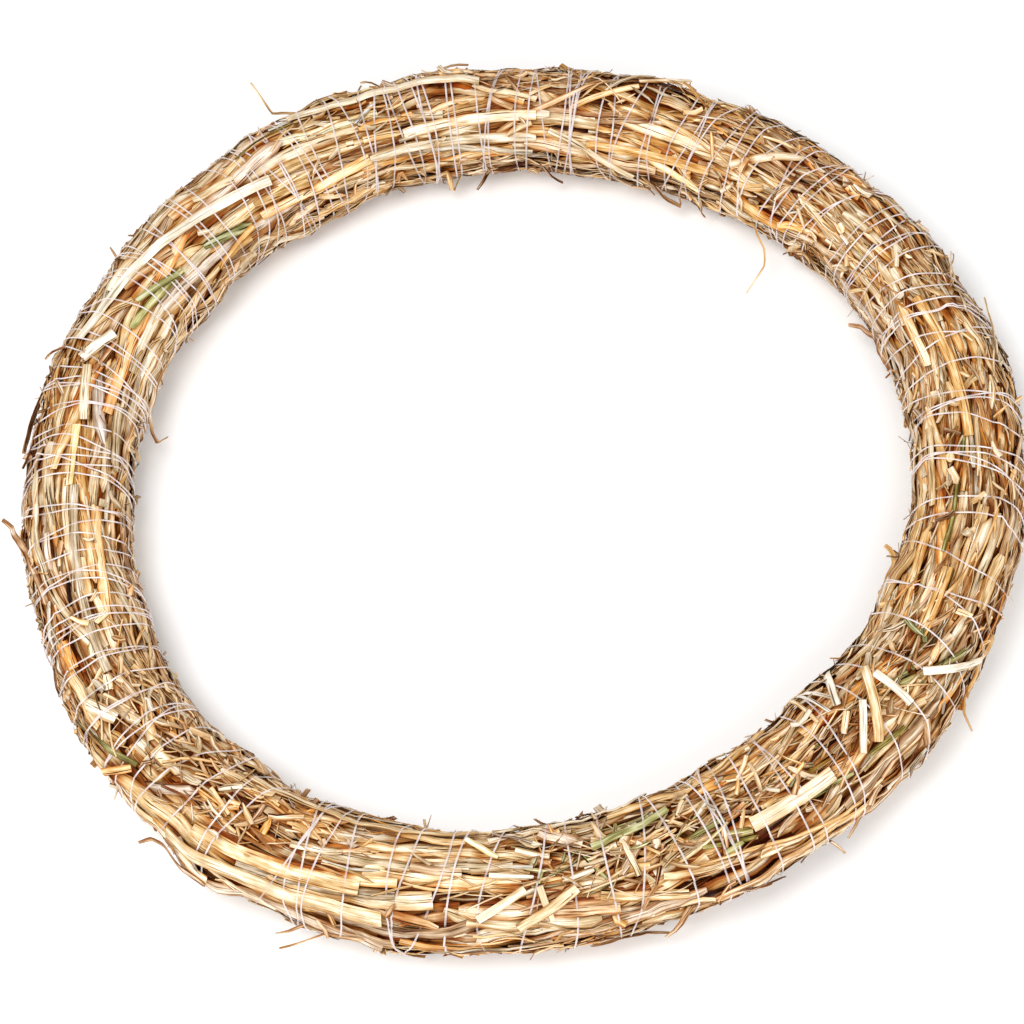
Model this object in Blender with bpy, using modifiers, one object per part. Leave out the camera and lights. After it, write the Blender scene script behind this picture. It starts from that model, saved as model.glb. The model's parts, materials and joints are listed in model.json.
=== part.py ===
"""A straw wreath that lies flat: a ring of bound straw, wound with one clear thread.

Metres, +Z up. The origin is the middle of the ring, on the surface that the ring lies on.
A place on the bundle has a ring angle, counted from +X round the ring, and a side angle,
counted round the bundle from its outermost line over its top to the side of the hole.
"""

import math
from collections import namedtuple

import bmesh
import bpy
from mathutils import Vector, noise
from mathutils.bvhtree import BVHTree

# The bundle
RING_RADIUS = 0.2250  # from the middle of the ring to the middle of the bundle
BUNDLE_RADIUS = 0.0276  # on the swell between two turns of the thread
RING_WAVE = 0.0031  # how far the ring is out of round, in three waves
RING_WAVE_TURN = math.radians(7)
BUNDLE_WAVE = 0.0011  # how much the bundle's radius varies, in two waves
BUNDLE_WAVE_TURN = math.radians(41)
REST_FLATTENING = 0.0009  # how far the bundle's own weight flattens it underneath
STRAW_RIDGES = 10  # thick straws that show round the bundle
RIDGE_HEIGHT = 0.0020  # of a thick straw over the groove beside it
SWELL_LUMP = 0.0024  # how far the straw bulges or sinks between two turns
LUMP_LENGTH = 0.0225  # along the ring, from one bulge to the next
LUMP_SHIFT = 0.03825  # from straw to straw, so that the bulges differ

# The winding
THREAD_TURNS = 40
THREAD_DIAMETER = 0.0012
THREAD_PINCH = 0.0010  # how much deeper the furrow is than the thread in it
TOUCH_GAP = 0.0003  # between two pieces that touch

# The straws and leaves that can be told apart
FLAT_STRAW = 0.0008  # thickness of a flattened straw
THIN_LEAF = 0.0006  # thickness of a leaf or a loose flake
ROUND_STALK = 0.0014  # thickness of a stalk that kept its round form

STATIONS_PER_TURN = 3  # a furrow, then both shoulders of the swell
STATIONS = THREAD_TURNS * STATIONS_PER_TURN
ROWS = STRAW_RIDGES * 2  # a ridge and a groove for each thick straw
ROW_ANGLE = 2 * math.pi / ROWS
STATION_ANGLE = 2 * math.pi / STATIONS
SEAM = -math.pi / 2  # the side angle underneath, where one turn passes to the next
MERGE_DISTANCE = 0.00001
CREASE_ANGLE = math.radians(24)  # above it two faces of the straw ring meet in a crease

FURROW_DEPTH = THREAD_DIAMETER + 2 * TOUCH_GAP + THREAD_PINCH
REST_HEIGHT = BUNDLE_RADIUS - REST_FLATTENING
STEEPEST_CHORD = math.radians(26)  # between the thread and the straw beside a ridge
THREAD_LIFT = (THREAD_DIAMETER / 2 + TOUCH_GAP) / math.cos(STEEPEST_CHORD)

STRAW_ROUGHNESS = 0.75
THREAD_ROUGHNESS = 0.25
THREAD_ALPHA = 0.6
STRAW_GOLD = (0.62, 0.43, 0.22)
STRAW_CREAM = (0.83, 0.72, 0.52)
STRAW_TAN = (0.55, 0.35, 0.16)
STRAW_HONEY = (0.72, 0.42, 0.12)
STRAW_GREY = (0.45, 0.37, 0.26)
STRAW_GREEN = (0.38, 0.40, 0.16)
STRAW_BROWN = (0.25, 0.13, 0.05)
THREAD_CLEAR = (0.82, 0.78, 0.82)

# Straws that the thread holds down: name, width, thickness, colour, and the first and last
# place on the bundle in degrees
BOUND_STRAWS = [
    ("broad_pale_straw", 0.0060, FLAT_STRAW, STRAW_CREAM, (154, 74), (119, 120)),
    ("broad_tan_straw", 0.0080, FLAT_STRAW, STRAW_TAN, (223, 29), (249, 42)),
    ("second_tan_straw", 0.0070, FLAT_STRAW, STRAW_TAN, (226, 52), (246, 62)),
    ("cream_straw", 0.0070, FLAT_STRAW, STRAW_CREAM, (290, 63), (301, 61)),
    ("honey_straw", 0.0050, FLAT_STRAW, STRAW_HONEY, (70, 149), (50, 144)),
    ("green_leaf", 0.0040, THIN_LEAF, STRAW_GREEN, (272, 97), (282, 108)),
    ("amber_straw", 0.0050, FLAT_STRAW, STRAW_HONEY, (350, 95), (372, 105)),
    ("grey_straw", 0.0045, FLAT_STRAW, STRAW_GREY, (176, 100), (204, 88)),
    ("inner_straw", 0.0050, FLAT_STRAW, STRAW_GOLD, (228, 122), (258, 130)),
    ("top_straw", 0.0060, FLAT_STRAW, STRAW_CREAM, (112, 70), (86, 84)),
    ("kinked_stalk", 0.0016, ROUND_STALK, STRAW_TAN, (103, 46), (110, 38)),
    ("hanging_stalk", 0.0015, ROUND_STALK, STRAW_HONEY, (48, 178), (41, 186)),
    ("right_stalk", 0.0016, ROUND_STALK, STRAW_CREAM, (-5, 45), (3, 36)),
    ("curled_leaf", 0.0036, THIN_LEAF, STRAW_BROWN, (191, 50), (184, 38)),
    ("hooked_curl", 0.0026, THIN_LEAF, STRAW_TAN, (150, 178), (158, 184)),
    ("brown_leaf", 0.0034, THIN_LEAF, STRAW_BROWN, (7, 186), (14, 194)),
    ("low_brown_leaf", 0.0036, THIN_LEAF, STRAW_BROWN, (229, 4), (222, -6)),
    ("dark_spike", 0.0024, THIN_LEAF, STRAW_BROWN, (80, 190), (86, 198)),
    ("inner_spike", 0.0026, THIN_LEAF, STRAW_GOLD, (67, 190), (61, 200)),
    ("second_inner_spike", 0.0024, THIN_LEAF, STRAW_GOLD, (58, 198), (52, 205)),
    ("edge_spike", 0.0022, THIN_LEAF, STRAW_CREAM, (8, 66), (14, 52)),
    ("low_stalk", 0.0016, ROUND_STALK, STRAW_TAN, (247, 6), (240, -5)),
    ("second_low_stalk", 0.0015, ROUND_STALK, STRAW_TAN, (249, -22), (242, -20)),
    ("front_spike", 0.0024, THIN_LEAF, STRAW_TAN, (283, -8), (289, -16)),
    ("second_front_spike", 0.0026, THIN_LEAF, STRAW_GOLD, (270, -10), (276, -18)),
    ("third_front_spike", 0.0024, THIN_LEAF, STRAW_GOLD, (309, -4), (302, -13)),
    ("right_curl", 0.0026, THIN_LEAF, STRAW_TAN, (328, 0), (321, -8)),
    ("orange_flake", 0.0030, THIN_LEAF, STRAW_HONEY, (327, 166), (333, 172)),
]

# Where a bound straw goes on beyond its last place: name, place in degrees, and height
# above the bundle
FREE_ENDS = [
    ("kinked_stalk", (112.6, 38), 0.0041),
    ("kinked_stalk", (113.2, 38), 0.0245),
    ("hanging_stalk", (37.5, 196), 0.0080),
    ("hanging_stalk", (36.0, 200), 0.0150),
    ("hanging_stalk", (35.2, 200), 0.0330),
    ("right_stalk", (7.0, 28), 0.0028),
    ("right_stalk", (11.2, 20), 0.0052),
    ("curled_leaf", (180.6, 27), 0.0022),
    ("curled_leaf", (178.0, 15), 0.0045),
    ("curled_leaf", (176.9, 14), 0.0092),
    ("hooked_curl", (161.5, 190), 0.0040),
    ("hooked_curl", (162.7, 194), 0.0080),
    ("hooked_curl", (160.9, 196), 0.0119),
    ("brown_leaf", (16.6, 197), 0.0030),
    ("brown_leaf", (18.2, 198), 0.0080),
    ("low_brown_leaf", (220.2, -9), 0.0045),
    ("low_brown_leaf", (219.4, -9), 0.0105),
    ("dark_spike", (88.4, 203), 0.0098),
    ("inner_spike", (58.8, 204), 0.0040),
    ("second_inner_spike", (49.9, 207), 0.0050),
    ("edge_spike", (16.4, 40), 0.0024),
    ("edge_spike", (18.1, 28), 0.0041),
    ("low_stalk", (237.2, -14), 0.0091),
    ("second_low_stalk", (238.0, -17), 0.0147),
    ("front_spike", (292.0, -19), 0.0030),
    ("second_front_spike", (278.6, -20), 0.0052),
    ("third_front_spike", (299.6, -16), 0.0045),
    ("right_curl", (318.6, -11), 0.0035),
    ("right_curl", (317.4, -12), 0.0112),
    ("orange_flake", (335.4, 178), 0.0050),
    ("orange_flake", (336.2, 180), 0.0085),
]

# Straws that lie across the winding: name, width, colour, and both ends in degrees
LAID_STRAWS = [
    ("crossing_straw", 0.0040, STRAW_HONEY, (314.1, 116), (307.5, 54)),
    ("second_crossing_straw", 0.0032, STRAW_CREAM, (309.9, 92), (305.0, 58)),
    ("third_crossing_straw", 0.0040, STRAW_CREAM, (313.9, 102), (313.4, 56)),
    ("fourth_crossing_straw", 0.0034, STRAW_GOLD, (311.6, 151), (307.2, 104)),
    ("edge_straw", 0.0044, STRAW_CREAM, (317.2, 66), (324.4, 6)),
    ("forked_straw", 0.0036, STRAW_CREAM, (264.0, 69), (258.9, 46)),
    ("second_forked_straw", 0.0034, STRAW_CREAM, (265.6, 70), (266.6, 38)),
    ("third_forked_straw", 0.0040, STRAW_GOLD, (269.6, 64), (263.0, 33)),
]
LAID_SEGMENTS = 4
TIP_SHARE = 0.45  # of its width that a loose end keeps at its tip
THREAD_SIDES = 3
SAMPLE_SPACING = THREAD_DIAMETER / 2  # between the points at which a straw feels what it lies on
SUNK_RADIUS = BUNDLE_RADIUS / 2  # where a straw starts before it is raised to the surface

Section = namedtuple("Section", "middle across outward width turn")


def empty_scene():
    for item in list(bpy.data.objects):
        bpy.data.objects.remove(item, do_unlink=True)


def new_collection(name):
    made = bpy.data.collections.new(name)
    bpy.context.scene.collection.children.link(made)
    return made


def plain_material(name, colour, roughness, alpha=1.0):
    made = bpy.data.materials.new(name)
    made.use_nodes = True
    shader = made.node_tree.nodes["Principled BSDF"]
    shader.inputs["Base Color"].default_value = (*colour, 1.0)
    shader.inputs["Roughness"].default_value = roughness
    shader.inputs["Metallic"].default_value = 0.0
    shader.inputs["Alpha"].default_value = alpha
    return made


def mesh_object(name, form, material, collection):
    """Makes an object from a bmesh, which is freed."""
    mesh = bpy.data.meshes.new(name)
    form.to_mesh(mesh)
    form.free()
    mesh.materials.append(material)
    made = bpy.data.objects.new(name, mesh)
    collection.objects.link(made)
    return made


def ring_radius_at(ring_angle):
    return RING_RADIUS + RING_WAVE * math.cos(3 * ring_angle + RING_WAVE_TURN)


def in_space(ring_angle, side_angle, distance):
    """The point at this distance from the middle of the bundle."""
    reach = ring_radius_at(ring_angle) + distance * math.cos(side_angle)
    height = REST_HEIGHT + distance * math.sin(side_angle)
    return Vector((reach * math.cos(ring_angle), reach * math.sin(ring_angle), height))


def outward_at(ring_angle, side_angle):
    """The direction away from the middle of the bundle."""
    level = math.cos(side_angle)
    return Vector((level * math.cos(ring_angle), level * math.sin(ring_angle), math.sin(side_angle)))


def station_ring_angle(station, side_angle):
    """Where the line of a station, which runs round the bundle with the thread, is on the ring."""
    passed = (side_angle - SEAM) / (2 * math.pi)
    return STATION_ANGLE * (station + STATIONS_PER_TURN * passed)


def row_side_angle(row):
    return SEAM + (row + 0.5) * ROW_ANGLE


def lump_at(ring_angle, row):
    """A bulge of less than 1 either way that differs from straw to straw and along each one."""
    level = RING_RADIUS * math.cos(ring_angle), RING_RADIUS * math.sin(ring_angle)
    return noise.noise(Vector((*level, LUMP_SHIFT * (row % ROWS))) / LUMP_LENGTH)


def corner_section(station, row):
    """A corner of the straw ring in the bundle's section: level, then upright, from its middle."""
    side_angle = row_side_angle(row)
    ring_angle = station_ring_angle(station, side_angle)
    in_furrow = station % STATIONS_PER_TURN == 0
    distance = BUNDLE_RADIUS - BUNDLE_WAVE * math.cos(2 * ring_angle - BUNDLE_WAVE_TURN)
    if row % 2:
        distance -= RIDGE_HEIGHT
    if in_furrow:
        distance -= FURROW_DEPTH
    else:
        distance += SWELL_LUMP * lump_at(ring_angle, row)
    level = distance * math.cos(side_angle)
    upright = distance * math.sin(side_angle)
    lowest = FURROW_DEPTH - REST_HEIGHT if in_furrow else -REST_HEIGHT
    underneath = row % ROWS in (0, ROWS - 1)
    return level, lowest if underneath else max(upright, lowest)


def corner_in_space(station, row):
    ring_angle = station_ring_angle(station, row_side_angle(row))
    level, upright = corner_section(station, row)
    reach = ring_radius_at(ring_angle) + level
    return Vector((reach * math.cos(ring_angle), reach * math.sin(ring_angle), REST_HEIGHT + upright))


def grid_form(columns, rows, place):
    """A flat grid whose corners are put where place(column, row) says."""
    form = bmesh.new()
    bmesh.ops.create_grid(form, x_segments=columns, y_segments=rows, size=0.5)
    for corner in form.verts:
        column = round((corner.co.x + 0.5) * columns)
        row = round((corner.co.y + 0.5) * rows)
        corner.co = place(column, row)
    return form


def make_straw_ring(collection):
    """A grid rolled up along the thread's own line, so that each furrow is a row of its edges."""
    form = grid_form(STATIONS, ROWS, corner_in_space)
    bmesh.ops.remove_doubles(form, verts=form.verts, dist=MERGE_DISTANCE)
    bmesh.ops.triangulate(form, faces=form.faces)
    material = plain_material("bound_straw", STRAW_GOLD, STRAW_ROUGHNESS)
    ring = mesh_object("straw_ring", form, material, collection)
    ring.data.shade_smooth()
    ring.data.set_sharp_from_angle(angle=CREASE_ANGLE)


def crossed_stations(first, last):
    """The stations that a straw crosses, each with its side angle; it ends on swells."""
    ring_first, side_first = (math.radians(value) for value in first)
    ring_last, side_last = (math.radians(value) for value in last)
    slope = (side_last - side_first) / (ring_last - ring_first)
    start = round((ring_first - station_ring_angle(0, side_first)) / STATION_ANGLE)
    stop = round((ring_last - station_ring_angle(0, side_last)) / STATION_ANGLE)
    step = 1 if stop > start else -1
    if start % STATIONS_PER_TURN == 0:
        start -= step
    if stop % STATIONS_PER_TURN == 0:
        stop += step
    crossed = []
    for station in range(start, stop + step, step):
        ring_here = station_ring_angle(station, side_first)
        side_angle = side_first + slope * (ring_here - ring_first) / (1 - slope / THREAD_TURNS)
        crossed.append((station, side_angle))
    return crossed, step


def section_across(ring_angle, side_angle):
    """The direction in which a station's line runs over the bundle."""
    around = Vector((-math.sin(ring_angle), math.cos(ring_angle), 0.0))
    over = outward_at(ring_angle, side_angle + math.pi / 2)
    shear = ring_radius_at(ring_angle) / THREAD_TURNS / BUNDLE_RADIUS
    return (over + around * shear).normalized()


def bound_sections(first, last, width):
    """A straw's sections at the stations it crosses, still sunk in the straw ring."""
    crossed, step = crossed_stations(first, last)
    sections = []
    for station, side_angle in crossed:
        ring_angle = station_ring_angle(station, side_angle)
        middle = in_space(ring_angle, side_angle, SUNK_RADIUS)
        across = section_across(ring_angle, side_angle) * step
        turn = None
        if station % STATIONS_PER_TURN == 0:
            turn = station // STATIONS_PER_TURN % THREAD_TURNS
        sections.append(Section(middle, across, outward_at(ring_angle, side_angle), width, turn))
    return sections


def laid_sections(first, last, width):
    """The sections of a straw that crosses the winding, still sunk in the straw ring."""
    middles = []
    outwards = []
    for index in range(LAID_SEGMENTS + 1):
        share = index / LAID_SEGMENTS
        ring_angle = math.radians(first[0] + (last[0] - first[0]) * share)
        side_angle = math.radians(first[1] + (last[1] - first[1]) * share)
        middles.append(in_space(ring_angle, side_angle, SUNK_RADIUS))
        outwards.append(outward_at(ring_angle, side_angle))
    sections = []
    for index, (middle, outward) in enumerate(zip(middles, outwards)):
        onward = middles[min(index + 1, LAID_SEGMENTS)] - middles[max(index - 1, 0)]
        across = outward.cross(onward).normalized()
        sections.append(Section(middle, across, outward, width, None))
    return sections


def missing_height(tree, sample, outward):
    """How much higher a point has to be to rest on what is below it."""
    hit = tree.ray_cast(sample + outward * 2 * BUNDLE_RADIUS, -outward)[0]
    return TOUCH_GAP - (sample - hit).dot(outward) if hit else 0.0


def edge_point(part, rise, share):
    """A point across a raised section, from one edge at -0.5 to the other at 0.5."""
    return part.middle + part.outward * rise + part.across * part.width * share


def settled(sections, tree):
    """The sections raised until the straw between them just rests on what is below it."""
    columns = math.ceil(sections[0].width / SAMPLE_SPACING)
    shares = [column / columns - 0.5 for column in range(columns + 1)]
    rises = []
    for part in sections:
        heights = [missing_height(tree, edge_point(part, 0.0, share), part.outward) for share in shares]
        rises.append(max(heights))
    for index in range(len(sections) - 1):
        start, stop = sections[index], sections[index + 1]
        length = (edge_point(stop, rises[index + 1], 0.0) - edge_point(start, rises[index], 0.0)).length
        steps = math.ceil(length / SAMPLE_SPACING)
        for step in range(1, steps):
            passed = step / steps
            weight = (1 - passed) ** 2 + passed**2
            outward = start.outward.lerp(stop.outward, passed).normalized()
            for share in shares:
                begun = edge_point(start, rises[index], share)
                sample = begun.lerp(edge_point(stop, rises[index + 1], share), passed)
                missing = missing_height(tree, sample, outward)
                if missing > 0:
                    rises[index] += missing * (1 - passed) / weight
                    rises[index + 1] += missing * passed / weight
    return [
        part._replace(middle=part.middle + part.outward * rise)
        for part, rise in zip(sections, rises)
    ]


def free_sections(last, places):
    """The sections beyond the last one, through free places, turned no more than they must."""
    points = [last.middle]
    for angles, height in places:
        ring_angle, side_angle = (math.radians(angle) for angle in angles)
        points.append(in_space(ring_angle, side_angle, BUNDLE_RADIUS + height))
    across = last.across
    made = []
    for index in range(1, len(points)):
        onward = (points[min(index + 1, len(points) - 1)] - points[index - 1]).normalized()
        across = (across - onward * across.dot(onward)).normalized()
        share = TIP_SHARE if index == len(points) - 1 else 1.0
        made.append(Section(points[index], across, last.outward, last.width * share, None))
    return made


def straw_object(name, sections, thickness, colour, collection):
    """A strip through the sections, thickened outwards."""

    def place(column, row):
        part = sections[column]
        return part.middle + part.across * part.width * (row - 0.5)

    form = grid_form(len(sections) - 1, 1, place)
    made = mesh_object(name, form, plain_material(name, colour, STRAW_ROUGHNESS), collection)
    solid = made.modifiers.new("thickness", "SOLIDIFY")
    solid.thickness = thickness
    solid.offset = 1.0
    return made


def polar(level, upright):
    """The side angle, counted on from the seam, and the distance from the bundle's middle."""
    side_angle = (math.atan2(upright, level) - SEAM) % (2 * math.pi) + SEAM
    return side_angle, math.hypot(level, upright)


def upper_corners(part, thickness):
    """A section's upper edges, as side angle and distance from the bundle's middle."""
    corners = []
    for side in (-0.5, 0.5):
        corner = part.middle + part.across * part.width * side + part.outward * thickness
        ring_angle = math.atan2(corner.y, corner.x)
        level = math.hypot(corner.x, corner.y) - ring_radius_at(ring_angle)
        corners.append(polar(level, corner.z - REST_HEIGHT))
    return corners


def make_bound_straws(collection):
    """Makes the straws and returns what each turn of the thread has to pass over."""
    tree = surface_of(collection.objects)
    passed_over = [[] for _ in range(THREAD_TURNS)]
    for name, width, thickness, colour, first, last in BOUND_STRAWS:
        sections = settled(bound_sections(first, last, width), tree)
        for part in sections:
            if part.turn is not None:
                passed_over[part.turn] += upper_corners(part, thickness)
        sections += free_sections(sections[-1], [end[1:] for end in FREE_ENDS if end[0] == name])
        straw_object(name, sections, thickness, colour, collection)
    return passed_over


def taut_round(points):
    """The points of one turn that a taut thread touches: the corners of their convex outline."""
    level = sorted((d * math.cos(a), d * math.sin(a), a, d) for a, d in points)

    def chain(ordered):
        kept = []
        for point in ordered:
            while len(kept) > 1:
                run = (kept[-1][0] - kept[-2][0], kept[-1][1] - kept[-2][1])
                rise = (point[0] - kept[-2][0], point[1] - kept[-2][1])
                if run[0] * rise[1] - run[1] * rise[0] > 0:
                    break
                kept.pop()
            kept.append(point)
        return kept[:-1]

    outline = chain(level) + chain(level[::-1])
    return sorted((angle, distance) for _, _, angle, distance in outline)


def make_thread(collection, guides, passed_over):
    """One closed winding that lies in the furrows and rides over the straws it holds."""
    route = []
    for turn in range(THREAD_TURNS):
        station = turn * STATIONS_PER_TURN
        touched = passed_over[turn] + [polar(*corner_section(station, row)) for row in range(ROWS)]
        for side_angle, distance in taut_round(touched):
            ring_angle = station_ring_angle(station, side_angle)
            route.append(in_space(ring_angle, side_angle, distance + THREAD_LIFT))
    curve = bpy.data.curves.new("winding_thread", "CURVE")
    curve.dimensions = "3D"
    spline = curve.splines.new("POLY")
    spline.points.add(len(route) - 1)
    for point, place in zip(spline.points, route):
        point.co = (*place, 1.0)
    spline.use_cyclic_u = True
    curve.bevel_mode = "OBJECT"
    curve.bevel_object = thread_profile(guides)
    curve.materials.append(plain_material("clear_thread", THREAD_CLEAR, THREAD_ROUGHNESS, THREAD_ALPHA))
    made = bpy.data.objects.new("winding_thread", curve)
    collection.objects.link(made)
    return made


def thread_profile(guides):
    """The thread's three-sided section, a guide that the thread's curve follows."""
    curve = bpy.data.curves.new("thread_profile", "CURVE")
    spline = curve.splines.new("POLY")
    spline.points.add(THREAD_SIDES - 1)
    for index, point in enumerate(spline.points):
        turn = -2 * math.pi * index / THREAD_SIDES
        point.co = (THREAD_DIAMETER / 2 * math.cos(turn), THREAD_DIAMETER / 2 * math.sin(turn), 0.0, 1.0)
    spline.use_cyclic_u = True
    made = bpy.data.objects.new("thread_profile", curve)
    made.hide_render = True
    made.display_type = "WIRE"
    guides.objects.link(made)
    return made


def surface_of(objects):
    """One search tree over the finished surfaces of these objects."""
    bpy.context.view_layer.update()
    graph = bpy.context.evaluated_depsgraph_get()
    points = []
    faces = []
    for item in objects:
        mesh = bpy.data.meshes.new_from_object(item.evaluated_get(graph))
        start = len(points)
        points += [item.matrix_world @ corner.co for corner in mesh.vertices]
        faces += [[start + index for index in face.vertices] for face in mesh.polygons]
        bpy.data.meshes.remove(mesh)
    return BVHTree.FromPolygons(points, faces)


def make_laid_straws(collection):
    for name, width, colour, first, last in LAID_STRAWS:
        sections = settled(laid_sections(first, last, width), surface_of(collection.objects))
        straw_object(name, sections, FLAT_STRAW, colour, collection)


def main():
    empty_scene()
    wreath = new_collection("straw_wreath")
    guides = new_collection("guides")
    make_straw_ring(wreath)
    passed_over = make_bound_straws(wreath)
    make_thread(wreath, guides, passed_over)
    make_laid_straws(wreath)


main()
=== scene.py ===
"""A ring of bound straw on a pale floor: its split stems, the chaff between them, the loose
straws on it, and the clear thread that is wound round it.

Metres, +Z up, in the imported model's frame. A place on the bundle has a ring angle, counted
from +X round the ring, and a side angle, counted round the bundle from its outermost line
over its top to the side of the hole. A rise is a height over the bundle's even surface.
"""

import json
import math
from collections import namedtuple

import bpy
import numpy as np
from mathutils import Matrix, Vector


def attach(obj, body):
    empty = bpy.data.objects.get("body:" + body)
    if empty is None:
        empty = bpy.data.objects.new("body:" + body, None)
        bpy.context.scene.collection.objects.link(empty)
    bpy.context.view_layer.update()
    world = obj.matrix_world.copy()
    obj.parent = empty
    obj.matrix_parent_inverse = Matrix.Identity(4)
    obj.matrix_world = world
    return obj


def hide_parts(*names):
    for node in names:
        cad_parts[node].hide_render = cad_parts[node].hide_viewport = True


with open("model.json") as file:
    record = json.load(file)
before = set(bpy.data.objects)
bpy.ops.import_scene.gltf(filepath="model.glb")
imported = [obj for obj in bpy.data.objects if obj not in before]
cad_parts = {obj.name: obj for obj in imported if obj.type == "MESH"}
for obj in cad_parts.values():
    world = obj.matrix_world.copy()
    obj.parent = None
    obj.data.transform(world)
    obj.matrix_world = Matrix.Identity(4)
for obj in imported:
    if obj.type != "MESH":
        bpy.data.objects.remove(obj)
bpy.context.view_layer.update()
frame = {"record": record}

# The bundle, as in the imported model
RING_RADIUS = 0.2250
BUNDLE_RADIUS = 0.0276
RING_WAVE = 0.0031
RING_WAVE_TURN = math.radians(7)
BUNDLE_WAVE = 0.0011
BUNDLE_WAVE_TURN = math.radians(41)
REST_HEIGHT = 0.0267
FLOOR_PRESS = 0.0009  # over how much height the straw flattens at the floor
FLOOR_GAP = 0.0001
SWELLING = 0.0013  # slow bulges of the bundle
SWELL_WAVES = (11, 5)  # of the bulges, round the ring
BUMP_WAVES = (37, 23)  # of the smaller bumps on them

# The bed of straw, a grid that holds how high the straw lies so far
CELL = 0.0005
COLUMNS = round(2 * math.pi * RING_RADIUS / CELL)
ROWS = round(2 * math.pi * BUNDLE_RADIUS / CELL)
BED_START = -0.0070
CORE_SINK = 0.0006  # of the dark core under the bed
SAMPLE = 0.0010  # between the points at which a straw feels what it lies on

# How a straw lies and what form it has
STIFF_BEND = 10.0  # a straw falls off beside a bump by this times the distance squared
LIMP_BEND = 60.0
SINKING = 0.55  # how far a straw rests on the highest point under it, and not on the mean
MARKED_SINKING = 0.70
STEEPEST_LEAN = 0.6  # rise over run, to one side
LEAN_SHARE = 0.7  # of the lean of what lies under a straw, that the straw takes
STIFF_WIDTH = 0.006  # a wider straw hardly gives way to the thread
SLIM_GIVE = 1.3
LEAST_GIVE = 0.3
SWAY = 0.00010  # how far a straw winds to its sides, over which length
SWAY_LENGTH = 0.022
WIDTH_WAVE = 0.09  # of its width, over which length
WIDTH_WAVE_LENGTH = 0.017
TWIST = math.radians(5)  # how far it twists, over which length
TWIST_LENGTH = 0.030
TIP_LENGTH = 0.16  # of half the straw, over which a tip narrows
LIFTED_FROM = 0.35  # of half the straw, from where an end is lifted
FREE_NARROWING = 0.4  # of the width, up to a free end
FREE_ROLL = math.radians(32)  # of straws with a free end
FREE_TIP = (0.6, 1.0)  # the width of such a straw's bound tip and of the other end
MARKED_TIPS = (1.0, 0.9, 0.6)
MARKED_LIFT = 0.0012  # the most that an end is lifted
MARKED_CRUMPLE = 0.3  # of how far other straws wind and twist
NAMED_LIFT = 0.0008
STALK_THICK = 0.0007
ROUND_STALK = (STALK_THICK, 0.3, 0.6)  # thickness, arch and how limp it is
FLAT_STEM = (0.0004, 0.06, -0.1)
MARKED_STEM = (0.0003, 0.07, -0.1)
EDGE_STALK = (STALK_THICK, 0.10, 0.5)
STALK_WIDTH = 2  # in millimetres: a named straw under this is a round stalk
CROWN_NOISE = 0.5  # how uneven the ribs on a straw's back are
OUTLINE_POINTS = ((0.0013, 3), (0.0022, 4), (0.0034, 5))  # of straws under those widths
MOST_POINTS = 7
NAMED_POINTS = {4: 6, 5: 6, 7: 9}  # a named straw has more

# How straw is made into meshes
STATION = 0.0046  # between the sections of a straw
FINENESS = {"under": 0.5, "long": 0.85, "named": 2.0}  # of the sections, where it isn't 1
FEWEST_STATIONS = 4
LEAST_SEEN = {"marked": 4, "stub": 4}  # cells that a straw shows on, or it is left out
LEAST_SEEN_ELSE = 8
PIECE_TRIANGLES = 150_000  # past this the next straw starts a new piece
CREASE_ANGLE = math.radians(50)
CORE_SECTIONS = 240
CORE_SIDES = 32
STANDING_UP = 0.4  # under this a straw stands too upright to tell its sides by the bundle
TINY = 1e-12
GRAIN_SHIFT = 10  # metres, the most that one straw's grain is shifted against another's
MAP_FILLED = 0.9  # of a straw's rectangle on the bake's map
MAP_HALVINGS = 24
CAP_SIZE = 0.04  # of a straw's end on that map, against the way round the straw
CAP_PLACE = (0.95, 0.05)

# Painted shade: straw is darkened the deeper it lies, at its edges and in the hollows
SMOOTHING = 0.0018  # over which the bed is evened out to tell how deep a straw lies
SHADE_DEPTH = 0.0024  # the depth at which straw is darkest
SHADE_START = 0.0004  # over the evened bed
EDGE_SHADE = 0.45  # how much darker the edges of a straw are painted, as shade
# how much painted shade straw gets in the hollows that are pressed in deeper than the thread's pinch
HOLLOW_SHADE = 0.5

# The thread
PINCHED_BELOW = 0.0060  # it presses in nothing that stands higher than this
PINCH_FADE = 0.0040
PINCH_BLUR = 1.5 * CELL  # along the thread
PINCH_FILL = 0.5  # how soon the thread's hits make a full pinch
PRESS_STEP = 0.15  # of the way from one of its points to the next
THREAD_DIAMETER = 0.0009
THREAD_STEPS = 64  # points in a turn
THREAD_SIDES = 4
THREAD_PINCH = 0.0011  # how deep the thread presses the straw in
PINCH_REACH = 0.0024
THREAD_WANDER = 0.0062
THREAD_WANDERINGS = 9  # waves along it, added up
WANDER_WAVES = (0.35, 1.4)  # crests of such a wave, for each turn
THREAD_LIMIT = 0.0032  # the thread runs through what stands higher than this
THREAD_SEAT = 0.35  # of its diameter, from the straw to its middle
THREAD_TOP = 0.7  # of its diameter, up to which a straw rests on it
RING_STEPS = 7200  # at which the thread's turns are counted

# Random waves and colours
SLOW_WAVE = (0.6, 1.0)  # crests in the length of a wave
QUICK_WAVE = (1.3, 2.2)
SLOW_SHARE = 0.65
WARMTH_SPREAD = 0.035
SHADE_SPREAD = 0.09
COLOUR_LIMITS = (0.01, 0.97)
COLOUR_BLEND = 0.3  # the most that a second colour is mixed into a straw's first
FELT_BESIDE = 0.006  # each way along the ring, over which a place is felt for how low it is

SEED = 20

Straw = namedtuple("Straw", "ring side rise width thick arch roll colour points")
Kind = namedtuple("Kind", "count width length spread bend thick arch roll lift limp tries")
Patch = namedtuple("Patch", "ring side width length spread chaff palette")

random = np.random.default_rng(SEED)


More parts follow.
